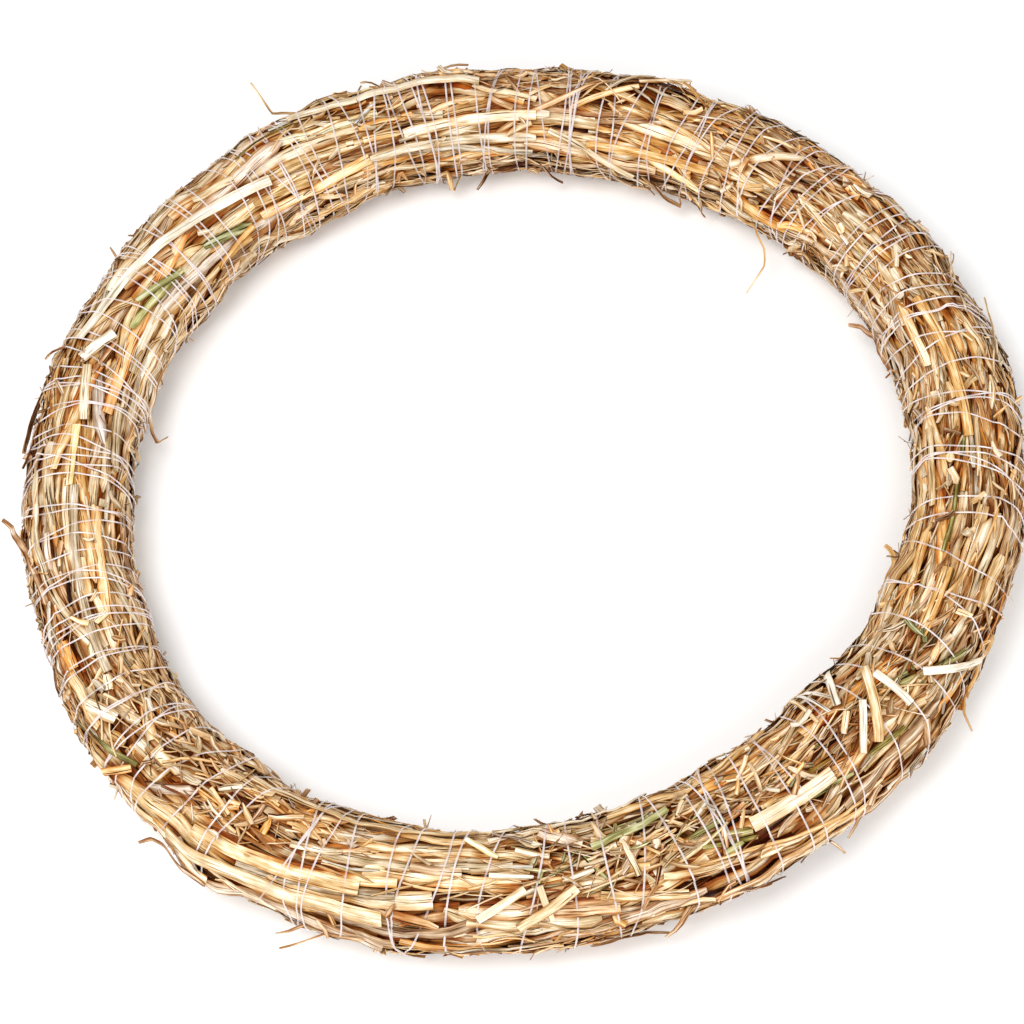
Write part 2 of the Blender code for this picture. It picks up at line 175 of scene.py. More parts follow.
def linear(red, green, blue):
    """A screen colour of 0 to 255 as the light that it gives back."""
    shares = np.array((red, green, blue)) / 255
    return np.where(shares <= 0.04045, shares / 12.92, ((shares + 0.055) / 1.055) ** 2.4)


COLOURS = {
    "white": linear(241, 233, 218),
    "cream": linear(239, 225, 201),
    "pale": linear(232, 213, 182),
    "pink": linear(226, 205, 182),
    "gold": linear(230, 206, 168),
    "honey": linear(225, 189, 134),
    "tan": linear(214, 184, 148),
    "brown": linear(192, 156, 120),
    "grey": linear(200, 182, 156),
    "green": linear(184, 180, 134),
    "olive": linear(160, 148, 90),
    "umber": linear(96, 56, 22),
}

# How much of each colour a part of the bundle has
PALETTES = {
    "pale": dict(cream=4, pale=5, gold=3, honey=1, tan=1.6, pink=1.4, brown=0.6),
    "mixed": dict(cream=2.2, pale=4, gold=3, honey=1.6, tan=2.4, pink=1.2, brown=1.4),
    "tawny": dict(cream=1.4, pale=3, gold=3, honey=1, tan=3, pink=1.4, grey=1, brown=1.6),
    "honey": dict(cream=1.4, pale=3, gold=4, honey=2, tan=1.8, pink=0.8, brown=0.8),
    "green": dict(cream=2, pale=3, gold=2.6, green=1.6, tan=2.2, grey=1.6, brown=1.4),
    # darker colours for the straws laid under the others: painted shade in the gaps between the straws
    # on top
    "shaded_under": dict(pale=2, tan=3, brown=3, umber=0.5),
}

# Where the bundle looks different: ring angles and side angles in degrees, widths and lengths
# in metres, spread of the headings in degrees, share of chaff, and palette
PATCHES = (
    Patch((108, 168), (62, 150), (0.0026, 0.0080), (0.055, 0.130), 4, 0.10, "pale"),
    Patch((165, 206), (48, 150), (0.0022, 0.0064), (0.045, 0.110), 5, 0.12, "pale"),
    Patch((120, 216), (-30, 50), (0.0012, 0.0040), (0.020, 0.065), 13, 0.40, "tawny"),
    Patch((204, 238), (60, 128), (0.0016, 0.0060), (0.018, 0.050), 24, 0.80, "mixed"),
    Patch((214, 262), (2, 58), (0.0040, 0.0090), (0.070, 0.140), 3, 0.05, "mixed"),
    Patch((238, 262), (58, 160), (0.0030, 0.0075), (0.050, 0.110), 5, 0.15, "pale"),
    Patch((261, 291), (58, 122), (0.0016, 0.0056), (0.018, 0.050), 26, 0.80, "green"),
    Patch((262, 312), (-10, 56), (0.0030, 0.0085), (0.050, 0.110), 6, 0.20, "mixed"),
    Patch((284, 306), (100, 170), (0.0028, 0.0075), (0.045, 0.090), 5, 0.15, "honey"),
    Patch((291, 320), (54, 112), (0.0016, 0.0060), (0.020, 0.060), 20, 0.60, "green"),
    Patch((318, 362), (50, 150), (0.0024, 0.0064), (0.040, 0.090), 7, 0.25, "honey"),
    Patch((312, 400), (-20, 52), (0.0016, 0.0054), (0.040, 0.090), 8, 0.30, "tawny"),
    Patch((2, 50), (50, 160), (0.0018, 0.0066), (0.030, 0.085), 11, 0.40, "mixed"),
    Patch((50, 108), (96, 170), (0.0028, 0.0078), (0.045, 0.110), 6, 0.15, "honey"),
    Patch((48, 110), (20, 96), (0.0018, 0.0066), (0.030, 0.080), 14, 0.50, "mixed"),
)
ELSEWHERE = Patch(None, None, (0.0020, 0.0064), (0.040, 0.095), 8, 0.25, "tawny")
PATCH_FADE = 4.0  # degrees along the ring
SIDE_FADE = 6.0  # degrees round the bundle

# Hollows pressed into the bed, darkened with painted shade: ring and side angle in degrees, length,
# width and depth in metres
HOLLOWS = (
    (233, 69, 0.014, 0.005, 0.0034), (221, 74, 0.008, 0.006, 0.0034),
    (214, 36, 0.012, 0.006, 0.0030), (216, 52, 0.008, 0.006, 0.0026),
    (256, 24, 0.012, 0.0022, 0.0036), (251, 44, 0.009, 0.0026, 0.0036),
    (328, 114, 0.016, 0.0022, 0.0034), (9, 82, 0.006, 0.005, 0.0034),
    (307, 52, 0.010, 0.003, 0.0026), (282, 45, 0.014, 0.003, 0.0030),
    (301, 78, 0.012, 0.003, 0.0028), (262, 68, 0.010, 0.004, 0.0026),
    (64, 72, 0.018, 0.003, 0.0030), (92, 88, 0.012, 0.006, 0.0026),
    (116, 88, 0.010, 0.006, 0.0026), (159, 62, 0.008, 0.003, 0.0030),
    (192, 60, 0.016, 0.002, 0.0028), (58, 128, 0.010, 0.004, 0.0026),
    (46, 118, 0.010, 0.003, 0.0024), (24, 58, 0.012, 0.004, 0.0026),
    (352, 60, 0.014, 0.004, 0.0028), (338, 60, 0.014, 0.004, 0.0028),
    (318, 100, 0.008, 0.003, 0.0026), (171, 60, 0.010, 0.004, 0.0028),
)

# Straws that stand out: colour, width in millimetres, ring and side angle of both ends
MARKED_STRAWS = (
    ("gold", 5, (86, 144), (76, 139)), ("gold", 4, (76, 138), (62, 176)),
    ("cream", 6, (86, 123), (76, 121)), ("honey", 3.6, (69, 131), (58, 141)),
    ("pale", 3, (73, 114), (64, 80)), ("pale", 3, (64, 80), (58, 54)),
    ("tan", 3, (84, 141), (69, 83)), ("gold", 6, (56, 139), (53, 162)),
    ("pink", 4, (52, 139), (48, 141)), ("gold", 2, (52, 104), (50, 130)),
    ("pale", 6, (114, 153), (104, 143)), ("pale", 6, (104, 143), (78, 147)),
    ("white", 3, (104, 105), (100, 83)), ("white", 3, (100, 83), (95, 83)),
    ("gold", 4, (113, 104), (104, 110)), ("honey", 4, (104, 124), (98, 127)),
    ("honey", 4, (104, 112), (96, 111)), ("cream", 6, (98, 129), (78, 123)),
    ("cream", 4, (87, 87), (78, 106)), ("white", 6, (157, 85), (152, 105)),
    ("brown", 3, (159, 100), (153, 110)), ("cream", 5, (166, 102), (158, 93)),
    ("gold", 7, (173, 139), (162, 134)), ("tan", 6, (170, 152), (163, 160)),
    ("cream", 5, (176, 94), (167, 97)), ("green", 5, (150, 117), (138, 128)),
    ("honey", 5, (144, 157), (126, 156)), ("gold", 4, (154, 71), (146, 105)),
    ("tan", 6, (145, 90), (137, 109)), ("gold", 4, (141, 53), (136, 65)),
    ("green", 4, (146, 109), (139, 127)), ("green", 5, (133, 129), (125, 145)),
    ("pale", 5, (129, 86), (123, 98)), ("honey", 5, (123, 131), (114, 140)),
    ("gold", 5, (123, 144), (114, 151)), ("honey", 4, (133, 157), (125, 146)),
    ("honey", 2, (123, 171), (120, 156)), ("olive", 1.6, (121, 83), (111, 80)),
    ("pale", 5, (47, 128), (39, 81)), ("pale", 5, (29, 106), (22, 100)),
    ("honey", 6, (22, 108), (18, 103)), ("gold", 5, (12, 122), (2, 124)),
    ("gold", 4, (16, 96), (6, 104)), ("honey", 4, (356, 136), (344, 114)),
    ("cream", 4, (62, 145), (51, 172)), ("gold", 5, (352, 132), (340, 128)),
    ("olive", 2.4, (355, 98), (347, 102)), ("olive", 2.2, (344, 104), (333, 103)),
    ("gold", 7, (187, 100), (193, 99)), ("umber", 2, (189, 82), (193, 78)),
    ("honey", 6, (197, 57), (201, 59)), ("white", 3, (199, 85), (201, 80)),
    ("white", 4.5, (204, 85), (206, 80)), ("white", 4, (210, 107), (212, 103)),
    ("cream", 2.5, (209, 96), (209, 115)), ("cream", 4, (197, 97), (196, 110)),
    ("gold", 3, (197, 111), (199, 118)), ("cream", 7, (206, 57), (210, 72)),
    ("green", 3, (206, 33), (216, 60)), ("cream", 4, (213, 31), (216, 56)),
    ("honey", 5, (211, 60), (213, 64)), ("cream", 7, (214, 73), (220, 77)),
    ("white", 5, (217, 80), (221, 82)), ("white", 2.5, (219, 60), (220, 85)),
    ("gold", 3, (217, 120), (222, 120)), ("pink", 5, (217, 108), (220, 108)),
    ("gold", 6, (224, 110), (233, 111)), ("cream", 5.5, (220, 81), (224, 85)),
    ("grey", 3, (225, 38), (228, 18)), ("honey", 3.3, (228, 58), (232, 58)),
    ("gold", 5, (232, 56), (250, 72)), ("grey", 5, (232, 43), (250, 62)),
    ("cream", 2, (228, 24), (237, 8)), ("cream", 3, (229, 141), (234, 129)),
    ("cream", 4, (237, 80), (243, 88)), ("gold", 4, (224, 112), (232, 114)),
    ("gold", 5, (234, 123), (240, 114)), ("gold", 6, (248, 127), (257, 116)),
    ("pink", 4, (251, 88), (257, 85)), ("white", 3, (257, 116), (261, 100)),
    ("pink", 3, (260, 128), (265, 112)), ("cream", 3, (263, 107), (267, 99)),
    ("white", 2.5, (260, 94), (265, 89)), ("white", 2.5, (260, 84), (265, 80)),
    ("honey", 3.5, (264, 72), (271, 78)), ("green", 3, (271, 92), (273, 66)),
    ("pink", 7, (266, 124), (271, 102)), ("green", 2.8, (283, 76), (291, 82)),
    ("olive", 2.6, (284, 64), (290, 52)), ("tan", 3.4, (287, 73), (286, 46)),
    ("gold", 5, (272, 54), (281, 31)), ("gold", 2, (282, 55), (302, 23)),
    ("green", 3, (295, 58), (303, 48)), ("tan", 4, (283, 18), (296, 20)),
    ("gold", 2.4, (275, 93), (281, 88)), ("gold", 2.2, (281, 88), (283, 70)),
    ("gold", 1.8, (282, 98), (288, 103)), ("gold", 1.8, (282, 98), (284, 81)),
    ("brown", 2, (278, 49), (280, 80)), ("brown", 2.4, (278, 49), (276, 32)),
    ("white", 2.4, (308, 101), (309, 88)), ("white", 2, (306, 160), (308, 111)),
    ("white", 2.2, (306, 161), (306, 104)), ("cream", 2, (305, 156), (304, 106)),
    ("olive", 2.6, (306, 50), (311, 46)), ("green", 2.4, (313, 86), (316, 76)),
    ("olive", 2.8, (331, 89), (327, 86)), ("gold", 6, (321, 87), (331, 94)),
    ("gold", 7, (328, 47), (335, 47)), ("tan", 5, (317, 75), (323, 60)),
    ("pink", 5, (311, -10), (315, 3)), ("cream", 6, (306, -1), (312, 5)),
)

# Small straws whose ends stand out from the wreath's edge: colour, width in millimetres, ring
# and side angle of both ends of the bound part, and where the free end goes, as FREE_ENDS
EDGE_STRAWS = (
    ("tan", 1.4, (142, 60), (140.6, 50), ((139.2, 34, 5.5),)),
    ("tan", 2.6, (154.6, 66), (155.2, 58), ((155.5, 32, 3.0), (155.6, 22, 3.4))),
    ("grey", 2.0, (106.0, 76), (106.5, 60), ((107, 44, 3.0),)),
    ("cream", 2.4, (96, 80), (98, 74), ((99.5, 60, 2.6), (101, 40, 3.2))),
    ("brown", 1.4, (56, 182), (54.9, 190), ((54.5, 210, 3.4),)),
    ("tan", 1.2, (52, 184), (51.1, 191), ((50.4, 204, 4.6), (49.9, 209, 4.8))),
    ("brown", 5, (79.4, 182), (77.8, 190), ((76, 204, 3.6), (74.4, 213, 4.6))),
    ("tan", 6, (61, 180), (59.2, 187), ((57, 200, 3.4), (54.2, 208, 4.4))),
    ("gold", 3.0, (92.6, 184), (92.5, 192), ((92.4, 206, 8.4), (91.4, 206, 4), (90.5, 203, 1))),
    ("brown", 3.2, (285.6, 18), (286.9, 12), ((288.6, -2, 2.6), (290.1, -16, 2.2))),
    ("tan", 2.8, (297, 2), (297.9, -8), ((298.2, -12, 5), (298.4, -14, 9))),
    ("brown", 6, (158.5, 40), (160.8, 28), ((164.5, 21, 1.8), (168.5, 22, 2.0))),
    ("brown", 5, (165, 44), (167.5, 33), ((171, 26, 2.2),)),
    ("tan", 3, (281.8, 12), (280.6, 0), ((279, -14, 4.5), (277.7, -16, 6))),
    ("tan", 1.6, (14, 56), (15.2, 46), ((17, 28, 2.6), (18.4, 17, 3.8))),
    ("tan", 4, (94.5, 54), (92.2, 46), ((90, 46, 3.4), (87.2, 50, 2.8))),
)

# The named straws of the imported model: width in millimetres, colour, and the ring and side
# angles of the two ends of the part that is bound to the ring
BOUND_STRAWS = {
    "broad_pale_straw": (6, "white", (154, 74), (119, 120)),
    "broad_tan_straw": (8, "pale", (223, 29), (249, 42)),
    "second_tan_straw": (7, "gold", (226, 52), (246, 62)),
    "cream_straw": (7, "cream", (290, 63), (301, 61)),
    "honey_straw": (5, "honey", (70, 149), (50, 144)),
    "green_leaf": (4, "green", (272, 97), (282, 108)),
    "amber_straw": (5, "honey", (350, 95), (372, 105)),
    "grey_straw": (4.5, "grey", (176, 100), (204, 88)),
    "inner_straw": (5, "gold", (228, 122), (258, 130)),
    "top_straw": (6, "cream", (112, 70), (86, 84)),
    # painted light: a paler colour than its own, since it stands up out of the light from above
    "kinked_stalk": (1.9, "pale", (103, 46), (110, 38)),
    "hanging_stalk": (1.5, "gold", (48, 178), (41, 186)),
    "right_stalk": (1.6, "pale", (-5, 45), (3, 36)),
    "curled_leaf": (3.6, "brown", (191, 50), (184, 38)),
    "hooked_curl": (3.6, "tan", (150, 178), (158, 184)),
    "brown_leaf": (3.4, "brown", (7, 186), (14, 194)),
    "low_brown_leaf": (3.6, "brown", (229, 4), (222, -6)),
    "dark_spike": (2.4, "umber", (80, 190), (86, 198)),
    "inner_spike": (2.6, "tan", (67, 190), (61, 200)),
    "second_inner_spike": (2.4, "tan", (58, 198), (52, 205)),
    "edge_spike": (2.2, "pale", (8, 66), (14, 52)),
    "low_stalk": (1.6, "tan", (247, 6), (240, -5)),
    "second_low_stalk": (1.5, "tan", (249, -22), (242, -20)),
    "front_spike": (2.4, "tan", (283, -8), (289, -16)),
    "second_front_spike": (2.6, "tan", (270, -10), (276, -18)),
    "third_front_spike": (2.4, "tan", (309, -4), (302, -13)),
    "right_curl": (2.6, "honey", (328, 0), (321, -8)),
    "orange_flake": (3, "honey", (327, 166), (333, 172)),
}

# Where the free ends of those straws go: ring and side angle, and millimetres over the bundle
FREE_ENDS = {
    "kinked_stalk": ((112.6, 38, 4.1), (113.2, 38, 24.5)),
    "hanging_stalk": ((37.5, 196, 8), (36, 200, 15), (35.2, 200, 33)),
    "right_stalk": ((7, 28, 2.8), (11.2, 20, 5.2)),
    "curled_leaf": ((180.6, 27, 2.2), (178, 15, 4.5), (176.9, 14, 9.2)),
    "hooked_curl": ((161.5, 190, 4), (162.7, 194, 8), (160.9, 196, 11.9)),
    "brown_leaf": ((16.6, 197, 3), (18.2, 198, 8)),
    "low_brown_leaf": ((220.2, -9, 4.5), (219.4, -9, 10.5)),
    "dark_spike": ((88.4, 203, 9.8),),
    "inner_spike": ((58.8, 204, 4),),
    "second_inner_spike": ((49.9, 207, 5),),
    "edge_spike": ((16.4, 40, 2.4), (18.1, 28, 4.1)),
    "low_stalk": ((237.2, -14, 9.1),),
    "second_low_stalk": ((238, -17, 14.7),),
    "front_spike": ((292, -19, 3),),
    "second_front_spike": ((278.6, -20, 5.2),),
    "third_front_spike": ((299.6, -16, 4.5),),
    "right_curl": ((318.6, -11, 3.5), (317.4, -12, 11.2)),
    "orange_flake": ((335.4, 178, 5), (336.2, 180, 8.5)),
}

# The straws that lie over the thread
LAID_STRAWS = {
    "crossing_straw": (5, "gold", (314.1, 116), (307.5, 54)),
    "second_crossing_straw": (3.6, "white", (309.9, 92), (305, 58)),
    "third_crossing_straw": (4, "white", (313.9, 102), (313.4, 56)),
    "fourth_crossing_straw": (4, "white", (311.6, 151), (307.2, 104)),
    "edge_straw": (4, "white", (317.2, 66), (324.4, 6)),
    "forked_straw": (3.8, "cream", (264, 69), (258.9, 46)),
    "second_forked_straw": (3.2, "cream", (265.6, 70), (266.6, 38)),
    "third_forked_straw": (5, "pale", (269.6, 64), (263, 33)),
}

# How far apart the turns of the thread are: ring angle in degrees and spacing in metres
SPACINGS = (
    (0, 0.0115), (30, 0.0105), (60, 0.0090), (90, 0.0078), (120, 0.0088), (150, 0.0088),
    (180, 0.0078), (205, 0.0105), (235, 0.0175), (262, 0.0160), (290, 0.0150), (320, 0.0175),
    (345, 0.0140),
)
# Where some turns lie close together: ring angle in degrees and turns
BANDS = (
    (9, 2), (22, 2), (37, 2), (57, 1), (74, 2), (96, 2), (117, 2), (139, 1), (160, 2),
    (171, 2), (196, 3), (214, 2), (239, 2), (251, 1), (287, 3), (297, 1), (346, 2), (355, 1),
)
BAND_WIDTH = math.radians(0.55)


def ring_radius_at(ring):
    return RING_RADIUS + RING_WAVE * np.cos(3 * ring + RING_WAVE_TURN)


def even_radius_at(ring, side):
    """The bundle's radius before any straw stands out or is pressed in."""
    wave = BUNDLE_WAVE * np.cos(2 * ring - BUNDLE_WAVE_TURN)
    many, few = SWELL_WAVES
    swell = np.sin(many * ring + 2 * np.sin(side + 0.7)) * np.cos(few * ring - side)
    many, few = BUMP_WAVES
    bump = np.sin(many * ring + 3 * np.sin(2 * side)) * np.sin(3 * side + few * ring)
    return BUNDLE_RADIUS - wave + SWELLING * swell + SWELLING / 2 * bump


def cells_at(ring, side):
    column = np.floor(ring * (COLUMNS / (2 * math.pi))).astype(int) % COLUMNS
    row = np.floor(side * (ROWS / (2 * math.pi))).astype(int) % ROWS
    return column, row


def away_from_first(count):
    """Distances of the cells of a circle from the first one."""
    steps = np.arange(count)
    return np.minimum(steps, count - steps) * CELL


def smear(grid, reach_on, reach_over):
    """A grid of the bundle blurred along the ring and round the bundle, and the blur's weight."""
    bell_on = np.exp(-((away_from_first(COLUMNS) / reach_on) ** 2))
    bell_over = np.exp(-((away_from_first(ROWS) / reach_over) ** 2))
    bells = np.fft.rfft2(np.outer(bell_on, bell_over))
    return np.fft.irfft2(np.fft.rfft2(grid) * bells, grid.shape), bell_on.sum() * bell_over.sum()


class Bed:
    """How high the straw lies at each cell of the bundle, and which straw is on top there."""

    def __init__(self):
        self.rise = np.full((COLUMNS, ROWS), BED_START)
        self.owner = np.full((COLUMNS, ROWS), -1)
        self.pinch = np.zeros((COLUMNS, ROWS))
        self.even = None

    def press(self, rings, sides):
        """Presses the bed in along the thread."""
        places = np.arange(0, len(rings) - 1, PRESS_STEP)
        known = np.arange(len(rings))
        cells = cells_at(np.interp(places, known, rings), np.interp(places, known, sides))
        hits = np.zeros((COLUMNS, ROWS))
        np.add.at(hits, cells, 1.0)
        spread, _ = smear(hits, PINCH_REACH, PINCH_BLUR)
        self.pinch = THREAD_PINCH * (1 - np.exp(-PINCH_FILL * np.maximum(spread, 0)))

    def hollow(self, ring, side, length, width, depth):
        """Presses the bed in at one place."""
        rings = (np.arange(COLUMNS) + 0.5) * 2 * math.pi / COLUMNS - math.radians(ring)
        sides = (np.arange(ROWS) + 0.5) * 2 * math.pi / ROWS - math.radians(side)
        reach = RING_RADIUS + BUNDLE_RADIUS * math.cos(math.radians(side))
        onward = np.sin(rings / 2) * 2 * reach / length
        over = np.sin(sides / 2) * 2 * BUNDLE_RADIUS / width
        self.pinch = self.pinch + depth * np.exp(-2 * np.add.outer(onward**2, over**2))

    def cover(self, ring, side, rise, owner):
        """Raises the cells under a straw to its top."""
        cells = cells_at(ring, side)
        higher = rise > self.rise[cells]
        cells = cells[0][higher], cells[1][higher]
        self.rise[cells] = rise[higher]
        self.owner[cells] = owner

    def finish(self):
        """Evens the bed out, so that the depth of each straw in it can be told."""
        blurred, weight = smear(self.rise, SMOOTHING, SMOOTHING)
        self.even = blurred / weight


bed = Bed()
straws = []


def yielding(width):
    """How far a straw gives way to the thread: a wide one is the stiffer."""
    return np.clip(SLIM_GIVE - np.max(width) / STIFF_WIDTH, LEAST_GIVE, 1)


def in_space(ring, side, rise, give=1.0):
    """Points at a rise over the bundle, pressed in by the thread and flattened at the floor."""
    pressed = bed.pinch[cells_at(ring, side)] * np.clip((PINCHED_BELOW - rise) / PINCH_FADE, 0, 1)
    pressed = pressed * give
    distance = even_radius_at(ring, side) + rise - pressed
    reach = ring_radius_at(ring) + distance * np.cos(side)
    height = REST_HEIGHT + distance * np.sin(side)
    height = (height + np.sqrt(height**2 + FLOOR_PRESS**2)) / 2
    return np.stack((reach * np.cos(ring), reach * np.sin(ring), height), axis=-1)


def unit(vectors):
    """The same directions, each one metre long."""
    return vectors / (np.linalg.norm(vectors, axis=1)[:, None] + TINY)


def outward_at(ring, side):
    level = np.cos(side)
    return np.stack((level * np.cos(ring), level * np.sin(ring), np.sin(side)), axis=-1)


def gentle_wave(along, size, length):
    """Smooth random waves of a size, about a length from crest to crest."""
    turns = 2 * math.pi * along / length
    first = np.sin(turns * random.uniform(*SLOW_WAVE) + random.uniform(0, 2 * math.pi))
    second = np.sin(turns * random.uniform(*QUICK_WAVE) + random.uniform(0, 2 * math.pi))
    return size * (SLOW_SHARE * first + (1 - SLOW_SHARE) * second)


def line_on_bundle(ring, side, heading, length, bend):
    """Ring angles, side angles and headings along a straw that lies on the bundle."""
    steps = max(4, math.ceil(length / SAMPLE))
    along = np.linspace(-0.5, 0.5, steps + 1) * length
    headings = heading + bend * along
    over = np.cumsum(np.sin(headings)) * length / steps
    onward = np.cumsum(np.cos(headings)) * length / steps
    middle = steps // 2
    sides = side + (over - over[middle]) / BUNDLE_RADIUS
    reach = RING_RADIUS + BUNDLE_RADIUS * np.cos(sides)
    return ring + (onward - onward[middle]) / reach, sides, headings, along


def line_between(first, last):
    """The same for a straw between two places, given in degrees."""
    ring, side = np.radians(first)
    last_ring, last_side = np.radians(last)
    reach = RING_RADIUS + BUNDLE_RADIUS * math.cos((side + last_side) / 2)
    onward = (last_ring - ring) * reach
    over = (last_side - side) * BUNDLE_RADIUS
    length = math.hypot(onward, over)
    share = np.linspace(0, 1, max(6, math.ceil(length / SAMPLE)) + 1)
    headings = np.full(len(share), math.atan2(over, onward))
    rings = ring + share * (last_ring - ring)
    return rings, side + share * (last_side - side), headings, (share - 0.5) * length


def across_line(ring, side, headings, width):
    """Rows of places across a straw, and their share of its half width."""
    count = max(3, math.ceil(np.max(width) / CELL) + 1)
    shares = np.linspace(-1, 1, count)
    offsets = width[:, None] / 2 * shares
    reach = RING_RADIUS + BUNDLE_RADIUS * np.cos(side)
    rings = ring[:, None] - np.sin(headings)[:, None] * offsets / reach[:, None]
    sides = side[:, None] + np.cos(headings)[:, None] * offsets / BUNDLE_RADIUS
    return rings, sides, np.broadcast_to(shares, rings.shape)


def resting_rise(along, under, bend, sinking):
    """The rise of a straw that bends no more than it can over the cells under it."""
    felt = sinking * under.max(axis=1) + (1 - sinking) * under.mean(axis=1)
    falls = bend * (along[:, None] - along[None, :]) ** 2
    return (felt[None, :] - falls).max(axis=1)


def lean(under, width):
    """How far the straw leans to one side, from the cells under its two halves."""
    half = under.shape[1] // 2
    difference = under[:, -half:].mean(axis=1) - under[:, :half].mean(axis=1)
    steep = np.clip(difference.mean() / (width / 2), -STEEPEST_LEAN, STEEPEST_LEAN)
    return math.atan(steep)


def points_for(width):
    """How many points a straw's outline has."""
    for limit, points in OUTLINE_POINTS:
        if width < limit:
            return points
    return MOST_POINTS


def lay_straw(
    line, width, thick, arch, roll, colour,
    lift=(0, 0), tip=(1, 1), limp=0.0, crumple=1.0, sinking=SINKING, free=(),
):
    """Lays one straw on the bed and keeps it.

    lift raises its two ends, tip narrows them, limp lets it bend more, and free are places
    that it goes on to after the bundle, as ring angle, side angle and rise.
    """
    ring, side, headings, along = line
    sway = gentle_wave(along, SWAY * crumple, SWAY_LENGTH)
    ring = ring - sway * np.sin(headings) / RING_RADIUS
    side = side + sway * np.cos(headings) / BUNDLE_RADIUS
    span = np.abs(along) / along[-1]
    narrowing = np.clip((1 - span) / TIP_LENGTH, 0, 1)
    tips = np.where(along < 0, tip[0], tip[1])
    widths = width * (tips + (1 - tips) * np.sqrt(narrowing))
    widths = widths * (1 + gentle_wave(along, WIDTH_WAVE * crumple, WIDTH_WAVE_LENGTH))
    rings, sides, shares = across_line(ring, side, headings, widths)
    under = bed.rise[cells_at(rings, sides)]
    bend = STIFF_BEND + limp * (LIMP_BEND - STIFF_BEND)
    rise = resting_rise(along, under, bend, sinking)
    lifts = np.where(along < 0, lift[0], lift[1])
    rise = rise + lifts * np.clip((span - LIFTED_FROM) / (1 - LIFTED_FROM), 0, 1) ** 2
    tops = rise[:, None] + thick + arch * width * (1 - shares**2)
    tops = tops + (1 - yielding(width)) * bed.pinch[cells_at(rings, sides)]
    bed.cover(rings, sides, tops, len(straws))
    rolls = roll + LEAN_SHARE * lean(under, width) + gentle_wave(along, TWIST * crumple, TWIST_LENGTH)
    if free:
        ring, side, rise, widths, rolls = with_free_end(ring, side, rise, widths, rolls, free)
    points = points_for(width)
    straws.append(Straw(ring, side, rise, widths, thick, arch * width, rolls, colour, points))


def with_free_end(ring, side, rise, widths, rolls, free):
    """Lets a straw go on into the air through the places given."""
    bound = np.stack((ring, side, rise), axis=1)
    corners = np.concatenate((bound[-1:], free))
    scale = np.array((RING_RADIUS, BUNDLE_RADIUS, 1.0))
    steps = np.linalg.norm(np.diff(corners * scale, axis=0), axis=1)
    passed = np.concatenate(([0], np.cumsum(steps)))
    walked = np.arange(SAMPLE, passed[-1] + SAMPLE / 2, SAMPLE)
    beyond = np.stack([np.interp(walked, passed, corners[:, axis]) for axis in range(3)], axis=1)
    whole = np.concatenate((bound, beyond))
    for axis in range(3):
        padded = np.pad(whole[:, axis], 1, mode="edge")
        whole[:, axis] = np.convolve(padded, np.ones(3) / 3, mode="valid")
    gone = np.arange(1, len(beyond) + 1) / len(beyond)
    widths = np.concatenate((widths, widths[-1] * (1 - FREE_NARROWING * gone**2)))
    rolls = np.concatenate((rolls, np.full(len(beyond), rolls[-1])))
    return *whole.T, widths, rolls


def patch_at(ring, side):
    """The patch that a place is in, with edges that run into each other."""
    ring_degrees = (math.degrees(ring) + random.normal() * PATCH_FADE) % 360
    side_degrees = (math.degrees(side) + random.normal() * SIDE_FADE + 180) % 360 - 180
    for patch in PATCHES:
        turned = ring_degrees + 360 if ring_degrees + 360 <= patch.ring[1] else ring_degrees
        in_ring = patch.ring[0] <= turned <= patch.ring[1]
        if in_ring and patch.side[0] <= side_degrees <= patch.side[1]:
            return patch
    return ELSEWHERE


def between(limits, towards_low=1.0):
    """A random value between two limits, leaning to the lower one."""
    return limits[0] + (limits[1] - limits[0]) * random.random() ** towards_low


def weathered(colour):
    """A colour a little lighter or darker, warmer or cooler."""
    warmth = random.normal() * WARMTH_SPREAD
    shades = np.array((1 + warmth, 1.0, 1 - 2 * warmth)) * (1 + random.normal() * SHADE_SPREAD)
    return np.clip(colour * shades, *COLOUR_LIMITS)


def colour_from(palette):
    names = list(PALETTES[palette])
    weights = np.array(list(PALETTES[palette].values()))
    chosen, other = random.choice(len(names), size=2, p=weights / weights.sum())
    colour = COLOURS[names[chosen]]
    return weathered(colour + (COLOURS[names[other]] - colour) * random.random() * COLOUR_BLEND)


def lowest_place(tries):
    """Of some random places, the one where the straw lies lowest so far."""
    ring = random.random(tries) * 2 * math.pi
    side = random.random(tries) * 2 * math.pi
    steps = np.linspace(-FELT_BESIDE, FELT_BESIDE, 5)[:, None] / RING_RADIUS
    found = bed.rise[cells_at(ring + steps, side + 0 * steps)].mean(axis=0)
    best = int(np.argmin(found))
    return ring[best], side[best]


# The kinds of straw, in the order in which they are laid: how many, widths and lengths, spread
# of the headings in degrees, bend, thickness, arch against the width, roll in degrees, lift of
# the ends, how limp they are, and how many places are tried for each
KINDS = {
    "under": Kind(2300, (0.0026, 0.0050), (0.050, 0.100), 7, 2.0, 0.0005, 0.08, 8, 0.0, 0.0, 3),
    "long": Kind(3300, (0.0020, 0.0064), (0.040, 0.100), 7, 3.0, 0.0002, 0.06, 4, 0.0005, 0.1, 4),
    "fine": Kind(4200, (0.0006, 0.0017), (0.012, 0.045), 5, 10.0, 0.0002, 0.18, 14, 0.0004, 0.6, 3),
    "chaff": Kind(5200, (0.0008, 0.0046), (0.004, 0.017), 38, 18, 0.0001, 0.09, 18, 0.0009, 1.0, 3),
    "stub": Kind(300, (0.0012, 0.0044), (0.004, 0.012), 34, 15, 0.0002, 0.09, 24, 0.0022, 0.3, 1),
}
TIPS = (1.0, 0.85, 0.45, 0.15)  # a tip's width against its straw's
TIP_SHARES = (0.35, 0.25, 0.2, 0.2)  # how common each of them is
LONG_SKIPPED = 0.5  # how many of the long straws are left out, for each share of chaff
FINE_ANYWHERE = 0.2  # share of the fine straws that is laid where there is no chaff
